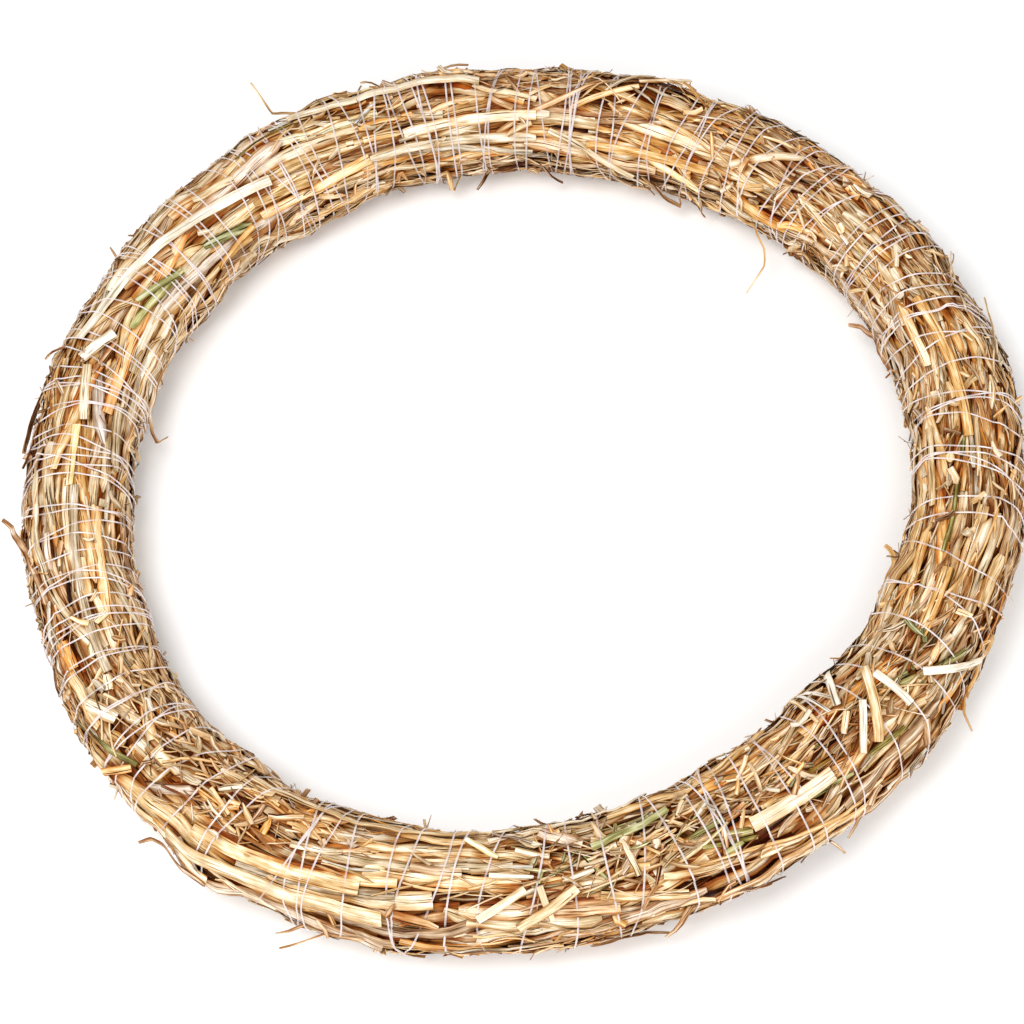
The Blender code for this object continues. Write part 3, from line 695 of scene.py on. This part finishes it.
FINE_SPREAD = 0.8  # of the long straws' spread, added to that of the fine ones
FIRST_LONG = 1.7  # how far the widths of the first long straws lean to the narrow ones
LONG_CHANGE = 1.1  # how much less that is for the last of them
NARROW = 1.3  # the same for the other kinds
ARCH_RANGE = (0.5, 1.5)


def lay_kind(name):
    """Lays all the straws of a kind, each where the bed is low, the widest long ones last."""
    kind = KINDS[name]
    for number in range(kind.count):
        ring, side = lowest_place(kind.tries)
        patch = patch_at(ring, side)
        if name == "chaff" and random.random() > patch.chaff:
            continue
        if name == "long" and random.random() < LONG_SKIPPED * patch.chaff:
            continue
        if name == "fine" and random.random() > FINE_ANYWHERE + patch.chaff:
            continue
        width, length, spread, palette = kind.width, kind.length, kind.spread, patch.palette
        if name == "long":
            width, length, spread = patch.width, patch.length, patch.spread
        if name == "fine":
            spread = kind.spread + FINE_SPREAD * patch.spread
        # the straws under the others take the darker palette, as painted shade
        if name == "under":
            palette = "shaded_under"
        heading = math.radians(random.normal() * spread)
        line = line_on_bundle(ring, side, heading, between(length), random.normal() * kind.bend)
        narrow = FIRST_LONG - LONG_CHANGE * number / kind.count if name == "long" else NARROW
        lay_straw(
            line, between(width, narrow), kind.thick, kind.arch * random.uniform(*ARCH_RANGE),
            math.radians(random.normal() * kind.roll), colour_from(palette),
            np.abs(random.normal(size=2)) * kind.lift,
            random.choice(TIPS, size=2, p=TIP_SHARES), kind.limp,
        )


def free_places(corners):
    """Places in the air, from degrees and millimetres to radians and metres."""
    return [(math.radians(ring), math.radians(side), rise / 1000) for ring, side, rise in corners]


def lay_marked():
    """Lays the straws that stand out, which are told by their places."""
    thick, arch, limp = EDGE_STALK
    for colour, width, first, last, corners in EDGE_STRAWS:
        lay_straw(
            line_between(first, last), width / 1000, thick, arch, FREE_ROLL, COLOURS[colour],
            tip=FREE_TIP, limp=limp, free=free_places(corners),
        )
    thick, arch, limp = MARKED_STEM
    for colour, width, first, last in MARKED_STRAWS:
        tip = random.choice(MARKED_TIPS, size=2)
        lift = random.random(2) * MARKED_LIFT
        shade = weathered(COLOURS[colour])
        lay_straw(
            line_between(first, last), width / 1000, thick, arch, 0.0, shade,
            lift, tip, limp, MARKED_CRUMPLE, MARKED_SINKING,
        )


def lay_named(table):
    """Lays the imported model's named straws; returns their names by their places in the list."""
    named = {}
    for name, (width, colour, first, last) in table.items():
        free = free_places(FREE_ENDS.get(name, ()))
        thick, arch, limp = ROUND_STALK if width < STALK_WIDTH else FLAT_STEM
        named[len(straws)] = name
        tip = FREE_TIP if free else (1.0, 1.0)
        roll = FREE_ROLL if free else 0.0
        lift = (0.0, 0.0 if free else NAMED_LIFT)
        lay_straw(
            line_between(first, last), width / 1000, thick, arch, roll, COLOURS[colour],
            lift, tip, limp, 0.0, MARKED_SINKING, free,
        )
    return named


def thread_line():
    """Ring and side angles along the thread, all the way round the ring."""
    ring = np.linspace(0, 2 * math.pi, RING_STEPS + 1)
    degrees, gaps = np.array(SPACINGS).T
    spacing = np.interp(np.degrees(ring), np.append(degrees, 360), np.append(gaps, gaps[0]))
    density = RING_RADIUS / spacing
    for degree, turns in BANDS:
        away = (ring - math.radians(degree)) / BAND_WIDTH
        density = density + turns / (BAND_WIDTH * math.sqrt(2 * math.pi)) * np.exp(-0.5 * away**2)
    passed = np.concatenate(([0], np.cumsum((density[1:] + density[:-1]) / 2 * np.diff(ring))))
    turns = round(passed[-1])
    passed = passed * turns / passed[-1]
    wound = np.arange(turns * THREAD_STEPS) / THREAD_STEPS
    rings = np.interp(wound, passed, ring)
    fewest, most = WANDER_WAVES
    size = THREAD_WANDER / RING_RADIUS / math.sqrt(THREAD_WANDERINGS)
    for _ in range(THREAD_WANDERINGS):
        waves = random.integers(round(turns * fewest), round(turns * most))
        rings = rings + size * np.sin(2 * math.pi * (wound * waves / turns + random.random()))
    return rings, -math.pi / 2 + 2 * math.pi * wound


def taut_radii(sides, radii):
    """The radii of the convex outline of one turn, at the same side angles."""
    level = np.stack((radii * np.cos(sides), radii * np.sin(sides)), axis=1)
    order = np.lexsort((level[:, 1], level[:, 0]))

    def chain(indexes):
        kept = []
        for index in indexes:
            while len(kept) > 1:
                run = level[kept[-1]] - level[kept[-2]]
                rise = level[index] - level[kept[-2]]
                if run[0] * rise[1] - run[1] * rise[0] > 0:
                    break
                kept.pop()
            kept.append(index)
        return kept[:-1]

    corners = level[chain(order) + chain(order[::-1])]
    runs = np.roll(corners, -1, axis=0) - corners
    away = np.stack((np.cos(sides), np.sin(sides)), axis=1)
    crossing = away[:, None, 0] * runs[None, :, 1] - away[:, None, 1] * runs[None, :, 0]
    reached = corners[None, :, 0] * runs[None, :, 1] - corners[None, :, 1] * runs[None, :, 0]
    distances = np.where(crossing > TINY, reached / np.maximum(crossing, TINY), np.inf)
    return distances.min(axis=1)


def seat_thread(rings, sides):
    """The thread's rises, where it is pulled taut over the straw."""
    rises = np.empty_like(rings)
    near = np.array((-1, 0, 1)) * CELL / RING_RADIUS
    for start in range(0, len(rings), THREAD_STEPS):
        turn = slice(start, start + THREAD_STEPS)
        ring, side = rings[turn], sides[turn]
        pinch = bed.pinch[cells_at(ring, side)]
        top = bed.rise[cells_at(ring[:, None] + near, side[:, None] + 0 * near)].max(axis=1)
        even = even_radius_at(ring, side)
        radii = np.minimum(even + top - pinch, even + THREAD_LIMIT)
        taut = taut_radii(side, radii)
        taut = (np.roll(taut, 1) + taut + np.roll(taut, -1)) / 3
        rises[turn] = taut - even + pinch
    return rises


def outline(straw):
    """A straw's closed outline in its section: shares of its half width, and heights."""
    if straw.points == 3:
        return np.array((-1.0, 0.0, 1.0)), np.array((-straw.thick, straw.arch, -straw.thick))
    shares = np.linspace(-1, 1, straw.points - 1)
    crown = straw.arch * (1 - shares**2) * (1 + CROWN_NOISE * random.normal(size=len(shares)))
    return np.append(shares, 0.0), np.append(crown, -straw.thick)


class Sheaf:
    """Straws gathered into one mesh, with their colours, grain, painted shade of depth and places on
    the bake's map.
    """

    def __init__(self):
        self.points, self.faces = [], []
        self.colour, self.grain, self.depth, self.strips = [], [], [], []
        self.count = 0
        self.triangles = 0

    def add(self, straw, fineness=1.0):
        """Adds a straw as a strip with flat ends."""
        length = SAMPLE * (len(straw.ring) - 1)
        stations = max(FEWEST_STATIONS, round(length * fineness / STATION) + 1)
        at = np.unique(np.linspace(0, len(straw.ring) - 1, stations).round().astype(int))
        give = yielding(straw.width)
        middle = in_space(straw.ring[at], straw.side[at], straw.rise[at] + straw.thick, give)
        onward = unit(np.gradient(middle, axis=0))
        across = np.cross(outward_at(straw.ring[at], straw.side[at]), onward)
        steady = across[0] - onward * (onward @ across[0])[:, None]
        upright = np.linalg.norm(across, axis=1) < STANDING_UP
        across[upright] = steady[upright]
        across = unit(across)
        upward = np.cross(onward, across)
        turn = straw.roll[at][:, None]
        leaning = across * np.cos(turn) + upward * np.sin(turn)
        standing = upward * np.cos(turn) - across * np.sin(turn)
        shares, heights = outline(straw)
        lateral = shares / 2 * straw.width[at][:, None]
        loops = middle[:, None] + lateral[..., None] * leaning[:, None]
        loops = loops + heights[:, None] * standing[:, None]
        loops[..., 2] = np.maximum(loops[..., 2], FLOOR_GAP)
        cells = cells_at(straw.ring[at], straw.side[at])
        rises = straw.rise[at][:, None] + straw.thick + heights + lateral * np.sin(turn)
        # painted shade: straw below the evened bed, a straw's edges and straw in the hollows are
        # marked darker
        depth = (bed.even[cells][:, None] + SHADE_START - rises) / SHADE_DEPTH
        depth = np.clip(depth, 0, 1) + EDGE_SHADE * np.abs(shares) ** 4
        hollow = np.clip((bed.pinch[cells][:, None] - THREAD_PINCH) / SHADE_DEPTH, 0, 1)
        self.add_loops(loops, straw.colour, np.clip(depth + HOLLOW_SHADE * hollow, 0, 1))

    def add_loops(self, loops, colour, depth):
        """Adds a closed strip through loops of points."""
        rows, points = loops.shape[:2]
        start = self.count
        index = start + np.arange(rows * points).reshape(rows, points)
        following = np.roll(index, -1, axis=1)
        quads = np.stack((index[:-1], index[1:], following[1:], following[:-1]), axis=-1)
        self.faces.append(quads.reshape(-1, 4))
        self.points.append(loops.reshape(-1, 3))
        self.count += rows * points
        self.triangles += 2 * (rows - 1) * points + 2 * (points - 2)
        steps = np.linalg.norm(np.diff(loops[:, 0], axis=0), axis=1)
        along = np.concatenate(([0], np.cumsum(steps)))
        edges = np.linalg.norm(np.diff(loops[rows // 2], axis=0), axis=1)
        round_it = np.concatenate(([0], np.cumsum(edges)))
        shift = random.random(3) * GRAIN_SHIFT
        grain = np.empty((rows, points, 3))
        grain[..., 0] = round_it[None, :] + shift[0]
        grain[..., 1] = along[:, None] + shift[1]
        grain[..., 2] = shift[2]
        self.grain.append(grain.reshape(-1, 3))
        self.colour.append(np.tile(np.append(colour, 1.0), (rows * points, 1)))
        self.depth.append(depth.ravel())
        self.strips.append((start, rows, points, along[-1], round_it[-1] + edges[-1]))

    def mesh(self, name):
        caps = []
        for start, rows, points, _, _ in self.strips:
            last = start + (rows - 1) * points
            caps.append(tuple(range(start, start + points)))
            caps.append(tuple(range(last + points - 1, last - 1, -1)))
        made = bpy.data.meshes.new(name)
        faces = [tuple(face) for face in np.concatenate(self.faces).tolist()]
        made.from_pydata(np.concatenate(self.points).tolist(), [], faces + caps)
        for label, kind, key, values in (
            ("straw_colour", "FLOAT_COLOR", "color", self.colour),
            ("grain_place", "FLOAT_VECTOR", "vector", self.grain),
            ("painted_shade_in_straw", "FLOAT", "value", self.depth),
        ):
            layer = made.attributes.new(label, kind, "POINT")
            layer.data.foreach_set(key, np.concatenate(values).ravel())
        self.lay_out(made)
        return made

    def lay_out(self, mesh):
        """Gives every straw its own rectangle on the bake's map."""
        lengths = np.array([strip[3] for strip in self.strips])
        rounds = np.array([strip[4] for strip in self.strips])
        order = np.argsort(-lengths)
        low, high = 0.0, 1 / lengths.max()
        for _ in range(MAP_HALVINGS):
            scale = (low + high) / 2
            if shelves(order, lengths * scale, rounds * scale)[1] <= 1:
                low = scale
            else:
                high = scale
        corners = shelves(order, lengths * low, rounds * low)[0]
        places = []
        for (_, rows, points, length, round_it), corner in zip(self.strips, corners):
            column = corner[0] + round_it * low * MAP_FILLED * np.arange(points + 1) / points
            row = corner[1] + length * low * MAP_FILLED * np.arange(rows) / (rows - 1)
            left, bottom = np.meshgrid(column[:-1], row[:-1])
            right, top = np.meshgrid(column[1:], row[1:])
            quad = np.stack((left, bottom, left, top, right, top, right, bottom), axis=-1)
            places.append(quad.reshape(-1, 2))
        for (_, _, points, _, round_it), corner in zip(self.strips, corners):
            turn = 2 * math.pi * np.arange(points) / points
            disc = np.stack((np.cos(turn), np.sin(turn)), axis=1) * CAP_SIZE * round_it * low
            middle = np.array(corner) + np.array(CAP_PLACE) * round_it * low
            places.append(middle + disc)
            places.append(middle + disc[::-1])
        layer = mesh.uv_layers.new(name="OFBake")
        layer.data.foreach_set("uv", np.clip(np.concatenate(places), 0, 1).ravel())


def shelves(order, lengths, rounds):
    """Puts rectangles on shelves, the longest first; returns their corners and the height."""
    corners = [None] * len(order)
    left, bottom, shelf = 0.0, 0.0, 0.0
    for index in order:
        if left + rounds[index] > 1:
            left, bottom, shelf = 0.0, bottom + shelf, 0.0
        shelf = max(shelf, lengths[index])
        corners[index] = (left, bottom)
        left += rounds[index]
    return corners, bottom + shelf


def put_in_scene(name, data):
    made = bpy.data.objects.new(name, data)
    bpy.context.scene.collection.objects.link(made)
    return made


def show(name, mesh, material):
    """Makes a piece of the wreath that rides on its body."""
    mesh.materials.append(material)
    mesh.shade_smooth()
    mesh.set_sharp_from_angle(angle=CREASE_ANGLE)
    made = put_in_scene(name, mesh)
    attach(made, "root")
    return made


def node_group(name, inputs, outputs):
    """A shader node group with named inputs (name, type) and outputs (name, type)."""
    tree = bpy.data.node_groups.new(name, "ShaderNodeTree")
    for label, kind in inputs:
        tree.interface.new_socket(label, in_out="INPUT", socket_type=kind)
    for label, kind in outputs:
        tree.interface.new_socket(label, in_out="OUTPUT", socket_type=kind)
    return tree, tree.nodes.new("NodeGroupInput"), tree.nodes.new("NodeGroupOutput")


def calculate(tree, operation, first, second, clamp=False):
    node = tree.nodes.new("ShaderNodeMath")
    node.operation = operation
    node.use_clamp = clamp
    for socket, value in zip(node.inputs, (first, second)):
        if isinstance(value, (int, float)):
            socket.default_value = value
        else:
            tree.links.new(value, socket)
    return node.outputs[0]


# Noise: pitch in metres, how far it is drawn out, detail, and the values that become 0 and 1
BROAD_FIBRES = (0.0013, 14, 2.0, 0.32, 0.68)
NARROW_FIBRES = (0.0006, 24, 2.0, 0.32, 0.68)
STAINS = (0.0050, 2.5, 3.0, 0.32, 0.68)
CRACKS = (0.0007, 34, 3.0, 0.57, 0.68)
THREAD_GLINTS = (0.009, 1.0, 1.0, 0.32, 0.68)

BROAD_SHARE = 0.6  # of the broad fibres in the ribs
NARROW_SHARE = 0.4
LIGHT_RIBS = 0.62  # ribs under this height are darkened
MEAN_STAIN = 0.5
DEEPENING = 1.15  # how much deeper the colour gets where fibres, cracks and stains darken it and where shade is painted
EVEN_LIGHT = 0.98  # of the colour, where straw is neither darkened nor lightened
DIMMING = 0.25
# the warm brown that painted shade takes on in deep places
DEEP_SHADE_TINT = linear(255, 229, 196)
DULL_SHARE = 0.25  # of the dullness, added to the roughness
STRAW_GLOSS = 0.12
RIB_STRENGTH = 0.7
RIB_HEIGHT = 0.0003
THREAD_COLOUR = linear(243, 234, 233)
THREAD_ROUGHNESS = 0.25
THREAD_SHOWN = (0.22, 0.5)  # the least opacity, and what the painted glints add
# painted shade: the dark brown of the gaps between the straws, on the bundle's inside
INSIDE_SHADE_COLOUR = linear(52, 24, 6)
INSIDE_ROUGHNESS = 0.95


def grain_noise(tree, place, pitch, stretch, detail, low, high):
    """Noise in the grain, from 0 to 1, drawn out along the straw."""
    mapping = tree.nodes.new("ShaderNodeMapping")
    mapping.inputs["Scale"].default_value = (1 / pitch, 1 / (pitch * stretch), 1.0)
    noise = tree.nodes.new("ShaderNodeTexNoise")
    noise.inputs["Scale"].default_value = 1.0
    noise.inputs["Detail"].default_value = detail
    spread = tree.nodes.new("ShaderNodeMapRange")
    spread.inputs["From Min"].default_value = low
    spread.inputs["From Max"].default_value = high
    tree.links.new(place, mapping.inputs["Vector"])
    tree.links.new(mapping.outputs[0], noise.inputs["Vector"])
    tree.links.new(noise.outputs["Fac"], spread.inputs["Value"])
    return spread.outputs["Result"]


def fibre_and_shade_group():
    """Straw's fibres and stains, and the painted shade of its depth, as a colour, a height and a
    dullness.
    """
    tree, given, put = node_group(
        "straw fibres and painted shade",
        [
            ("Straw Colour", "NodeSocketColor"), ("Grain Place", "NodeSocketVector"),
            ("Depth", "NodeSocketFloat"), ("Fibre Contrast", "NodeSocketFloat"),
            ("Crack Contrast", "NodeSocketFloat"), ("Stain Contrast", "NodeSocketFloat"),
            ("Depth Contrast", "NodeSocketFloat"),
        ],
        [
            ("Colour", "NodeSocketColor"), ("Height", "NodeSocketFloat"),
            ("Dullness", "NodeSocketFloat"),
        ],
    )
    place = given.outputs["Grain Place"]
    broad = calculate(tree, "MULTIPLY", grain_noise(tree, place, *BROAD_FIBRES), BROAD_SHARE)
    narrow = calculate(tree, "MULTIPLY", grain_noise(tree, place, *NARROW_FIBRES), NARROW_SHARE)
    stain = grain_noise(tree, place, *STAINS)
    crack = grain_noise(tree, place, *CRACKS)
    ribs = calculate(tree, "ADD", broad, narrow)
    dark_ribs = calculate(tree, "SUBTRACT", LIGHT_RIBS, ribs)
    dark_stain = calculate(tree, "SUBTRACT", MEAN_STAIN, stain)
    fibre_part = calculate(tree, "MULTIPLY", dark_ribs, given.outputs["Fibre Contrast"])
    stain_part = calculate(tree, "MULTIPLY", dark_stain, given.outputs["Stain Contrast"])
    # painted shade, from how deep the straw lies
    painted_shade_part = calculate(tree, "MULTIPLY", given.outputs["Depth"], given.outputs["Depth Contrast"])
    crack_part = calculate(tree, "MULTIPLY", crack, given.outputs["Crack Contrast"])
    surface = calculate(tree, "ADD", calculate(tree, "ADD", fibre_part, crack_part), stain_part)
    darkness = calculate(tree, "ADD", surface, painted_shade_part)
    power = calculate(tree, "ADD", calculate(tree, "MULTIPLY", darkness, DEEPENING), 1.0)
    # painted shade: deep places are tinted warm brown
    shade_tinted = tree.nodes.new("ShaderNodeMix")
    shade_tinted.data_type = "RGBA"
    shade_tinted.blend_type = "MULTIPLY"
    factor, first, second = (shade_tinted.inputs[index] for index in (0, 6, 7))
    tree.links.new(given.outputs["Depth"], factor)
    tree.links.new(given.outputs["Straw Colour"], first)
    second.default_value = (*DEEP_SHADE_TINT, 1.0)
    deepened = tree.nodes.new("ShaderNodeGamma")
    tree.links.new(shade_tinted.outputs[2], deepened.inputs["Color"])
    tree.links.new(power, deepened.inputs["Gamma"])
    dimming = calculate(tree, "MULTIPLY", darkness, DIMMING)
    shaded = tree.nodes.new("ShaderNodeVectorMath")
    shaded.operation = "SCALE"
    tree.links.new(deepened.outputs[0], shaded.inputs[0])
    kept = calculate(tree, "SUBTRACT", EVEN_LIGHT, dimming, True)
    tree.links.new(kept, shaded.inputs["Scale"])
    tree.links.new(shaded.outputs[0], put.inputs["Colour"])
    tree.links.new(calculate(tree, "SUBTRACT", ribs, crack), put.inputs["Height"])
    dull = calculate(tree, "ADD", stain, given.outputs["Depth"], True)
    tree.links.new(dull, put.inputs["Dullness"])
    return tree


def straw_material(name, fibres, roughness, fibre, crack, stain, depth):
    """A straw's finish: its roughness, and how much its fibres, cracks, stains and painted depth shade
    show.
    """
    made = bpy.data.materials.new(name)
    made.use_nodes = True
    tree = made.node_tree
    shader = tree.nodes["Principled BSDF"]
    shader.inputs["Specular IOR Level"].default_value = STRAW_GLOSS
    grouped = tree.nodes.new("ShaderNodeGroup")
    grouped.node_tree = fibres
    grouped.inputs["Fibre Contrast"].default_value = fibre
    grouped.inputs["Crack Contrast"].default_value = crack
    grouped.inputs["Stain Contrast"].default_value = stain
    grouped.inputs["Depth Contrast"].default_value = depth
    for label, output, socket in (
        ("straw_colour", "Color", "Straw Colour"),
        ("grain_place", "Vector", "Grain Place"),
        ("painted_shade_in_straw", "Fac", "Depth"),
    ):
        attribute = tree.nodes.new("ShaderNodeAttribute")
        attribute.attribute_name = label
        tree.links.new(attribute.outputs[output], grouped.inputs[socket])
    tree.links.new(grouped.outputs["Colour"], shader.inputs["Base Color"])
    dull = calculate(tree, "MULTIPLY", grouped.outputs["Dullness"], DULL_SHARE)
    tree.links.new(calculate(tree, "ADD", dull, roughness), shader.inputs["Roughness"])
    bump = tree.nodes.new("ShaderNodeBump")
    bump.inputs["Strength"].default_value = RIB_STRENGTH
    bump.inputs["Distance"].default_value = RIB_HEIGHT
    tree.links.new(grouped.outputs["Height"], bump.inputs["Height"])
    tree.links.new(bump.outputs[0], shader.inputs["Normal"])
    return made


def plain_material(name, colour, roughness):
    made = bpy.data.materials.new(name)
    made.use_nodes = True
    shader = made.node_tree.nodes["Principled BSDF"]
    shader.inputs["Base Color"].default_value = (*colour, 1.0)
    shader.inputs["Roughness"].default_value = roughness
    return made


def thread_material():
    """Clear thread, more opaque in some stretches than in others: painted glints where it would catch
    the light.
    """
    made = plain_material("clear thread", THREAD_COLOUR, THREAD_ROUGHNESS)
    tree = made.node_tree
    place = tree.nodes.new("ShaderNodeTexCoord").outputs["Object"]
    glints = grain_noise(tree, place, *THREAD_GLINTS)
    least, gain = THREAD_SHOWN
    alpha = calculate(tree, "ADD", calculate(tree, "MULTIPLY", glints, gain), least)
    tree.links.new(alpha, tree.nodes["Principled BSDF"].inputs["Alpha"])
    return made


def tube_faces(rows, points):
    """The faces of a tube of loops that closes on itself."""
    index = np.arange(rows * points).reshape(rows, points)
    onward = np.roll(index, -1, axis=0)
    corners = (index, onward, np.roll(onward, -1, axis=1), np.roll(index, -1, axis=1))
    return np.stack(corners, axis=-1).reshape(-1, 4).tolist()


def make_core(material):
    """The inside of the bundle, coloured dark brown as painted shade where it shows between the
    straws.
    """
    rings = 2 * math.pi * np.arange(CORE_SECTIONS) / CORE_SECTIONS
    sides = 2 * math.pi * np.arange(CORE_SIDES) / CORE_SIDES
    ring, side = np.meshgrid(rings, sides, indexing="ij")
    points = in_space(ring, side, np.full(ring.shape, BED_START - CORE_SINK))
    mesh = bpy.data.meshes.new("straw_core")
    mesh.from_pydata(points.reshape(-1, 3).tolist(), [], tube_faces(CORE_SECTIONS, CORE_SIDES))
    core = show("straw_core", mesh, material)
    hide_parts("straw_ring")


def make_thread(rings, sides, rises, material):
    """The thread as one closed tube."""
    middle = in_space(rings, sides, rises + THREAD_DIAMETER * THREAD_SEAT)
    onward = unit(np.roll(middle, -1, axis=0) - np.roll(middle, 1, axis=0))
    across = unit(np.cross(outward_at(rings, sides), onward))
    upward = np.cross(onward, across)
    turn = -2 * math.pi * np.arange(THREAD_SIDES)[None, :, None] / THREAD_SIDES
    circle = np.cos(turn) * across[:, None] + np.sin(turn) * upward[:, None]
    tube = middle[:, None] + THREAD_DIAMETER / 2 * circle
    tube[..., 2] = np.maximum(tube[..., 2], FLOOR_GAP)
    mesh = bpy.data.meshes.new("wound_thread")
    mesh.from_pydata(tube.reshape(-1, 3).tolist(), [], tube_faces(len(middle), THREAD_SIDES))
    thread = show("wound_thread", mesh, material)
    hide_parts("winding_thread")


# Roughness, and how much fibres, cracks, stains and painted depth shade show, for the record's
# finishes
FINISHES = {
    "bound_straw": (0.42, 1.4, 2.8, 0.8, 1.8),
    "pale_straw": (0.38, 1.3, 1.1, 0.8, 0.9),
    "tan_straw": (0.45, 1.6, 1.8, 1.0, 1.0),
    "honey_straw": (0.38, 1.5, 1.4, 0.8, 1.0),
    "grey_straw": (0.55, 1.3, 1.3, 0.8, 0.8),
    "green_straw": (0.50, 1.3, 1.2, 0.9, 0.9),
    "brown_leaf": (0.60, 1.3, 1.2, 1.2, 0.9),
}


def make_bulk(marks, finishes):
    """Makes the straws of each kind into pieces that span the whole ring."""
    seen = np.bincount(bed.owner[bed.owner >= 0].ravel(), minlength=len(straws))
    for name, (first, last) in marks.items():
        least = LEAST_SEEN.get(name, LEAST_SEEN_ELSE)
        kept = [index for index in range(first, last) if seen[index] >= least]
        sheaf = Sheaf()
        pieces = []
        for index in kept:
            if sheaf.triangles > PIECE_TRIANGLES:
                pieces.append(sheaf)
                sheaf = Sheaf()
            sheaf.add(straws[index], FINENESS.get(name, 1.0))
        pieces.append(sheaf)
        for number, piece in enumerate(pieces, start=1):
            label = f"{name}_straw_{number}"
            show(label, piece.mesh(label), finishes["bound_straw"])


def make_named(named, slots, finishes):
    """Makes each named straw a piece of its own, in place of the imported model's."""
    for index, name in named.items():
        sheaf = Sheaf()
        straw = straws[index]
        sheaf.add(straw._replace(points=NAMED_POINTS[straw.points]), FINENESS["named"])
        label = f"fibred_{name}"
        piece = show(label, sheaf.mesh(label), finishes[slots[name]])
        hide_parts(name)


def make_wreath():
    """Lays the whole wreath on its bed, and then makes its pieces."""
    fibres = fibre_and_shade_group()
    finishes = {
        slot: straw_material(slot.replace("_", " "), fibres, *values)
        for slot, values in FINISHES.items()
    }
    slots = {part["node"]: part["material_slot"] for part in frame["record"]["subparts"]}
    thread_rings, thread_sides = thread_line()
    bed.press(thread_rings, thread_sides)
    for hollow in HOLLOWS:
        bed.hollow(*hollow)
    marks = {}
    for name in KINDS:
        if name == "fine":
            first = len(straws)
            lay_marked()
            marks["marked"] = (first, len(straws))
        if name == "stub":
            named = lay_named(BOUND_STRAWS)
            rises = seat_thread(thread_rings, thread_sides)
        first = len(straws)
        lay_kind(name)
        marks[name] = (first, len(straws))
    bed.cover(thread_rings, thread_sides, rises + THREAD_DIAMETER * THREAD_TOP, -1)
    named.update(lay_named(LAID_STRAWS))
    bed.finish()
    make_core(plain_material("painted shade inside", INSIDE_SHADE_COLOUR, INSIDE_ROUGHNESS))
    make_bulk(marks, finishes)
    make_named(named, slots, finishes)
    make_thread(thread_rings, thread_sides, rises, thread_material())


# The studio: each light's name, place, width and power in watts
FLOOR_REACH = 6.0
FLOOR_COLOUR = (0.90, 0.90, 0.90)
FLOOR_ROUGHNESS = 0.9
ROOM_LIGHT = 0.67
LIGHTS = (
    ("key light", (-0.5, -0.25, 1.5), 1.0, 16.5),
    ("front light", (0.2, -1.4, 1.0), 1.2, 16.0),
)


def make_studio():
    """A pale floor, a large soft light above and a softer one in front."""
    far = FLOOR_REACH
    corners = [(-far, -far, 0), (far, -far, 0), (far, far, 0), (-far, far, 0)]
    mesh = bpy.data.meshes.new("floor")
    mesh.from_pydata(corners, [], [(0, 1, 2, 3)])
    mesh.materials.append(plain_material("pale floor", FLOOR_COLOUR, FLOOR_ROUGHNESS))
    floor = put_in_scene("floor", mesh)
    world = bpy.data.worlds.new("soft room")
    bpy.context.scene.world = world
    world.use_nodes = True
    background = world.node_tree.nodes["Background"]
    background.inputs["Color"].default_value = (1.0, 1.0, 1.0, 1.0)
    background.inputs["Strength"].default_value = ROOM_LIGHT
    for name, place, width, power in LIGHTS:
        light = bpy.data.lights.new(name, "AREA")
        light.shape = "DISK"
        light.size = width
        light.energy = power
        lamp = put_in_scene(name, light)
        lamp.location = place
        lamp.rotation_euler = (-Vector(place)).to_track_quat("-Z", "Y").to_euler()


# The photograph's view
ELEVATION = math.radians(58.7)
CAMERA_ROLL = math.radians(-9.25)
CAMERA_DISTANCE = 1.3
TARGET = Vector((0.0, 0.0, 0.025))
LENS = 90.53  # millimetres, as the sensor's width
SENSOR_WIDTH = 36.0
FRAME_PIXELS = 1024
SHIFT_PIXELS = (-0.8, -40.5)


def make_camera():
    """Looks at the ring from the front and well above, turned a little."""
    away = Vector((0.0, -math.cos(ELEVATION), math.sin(ELEVATION)))
    place = TARGET + CAMERA_DISTANCE * away
    camera = bpy.data.cameras.new("camera")
    camera.lens = LENS
    camera.sensor_width = SENSOR_WIDTH
    camera.shift_x = SHIFT_PIXELS[0] / FRAME_PIXELS
    camera.shift_y = SHIFT_PIXELS[1] / FRAME_PIXELS
    look = (TARGET - place).to_track_quat("-Z", "Y")
    roll = Matrix.Rotation(CAMERA_ROLL, 4, "Z")
    made = put_in_scene("camera", camera)
    made.matrix_world = Matrix.Translation(place) @ look.to_matrix().to_4x4() @ roll
    bpy.context.scene.camera = made
    bpy.context.scene.view_settings.view_transform = "Standard"


make_camera()
make_studio()
make_wreath()
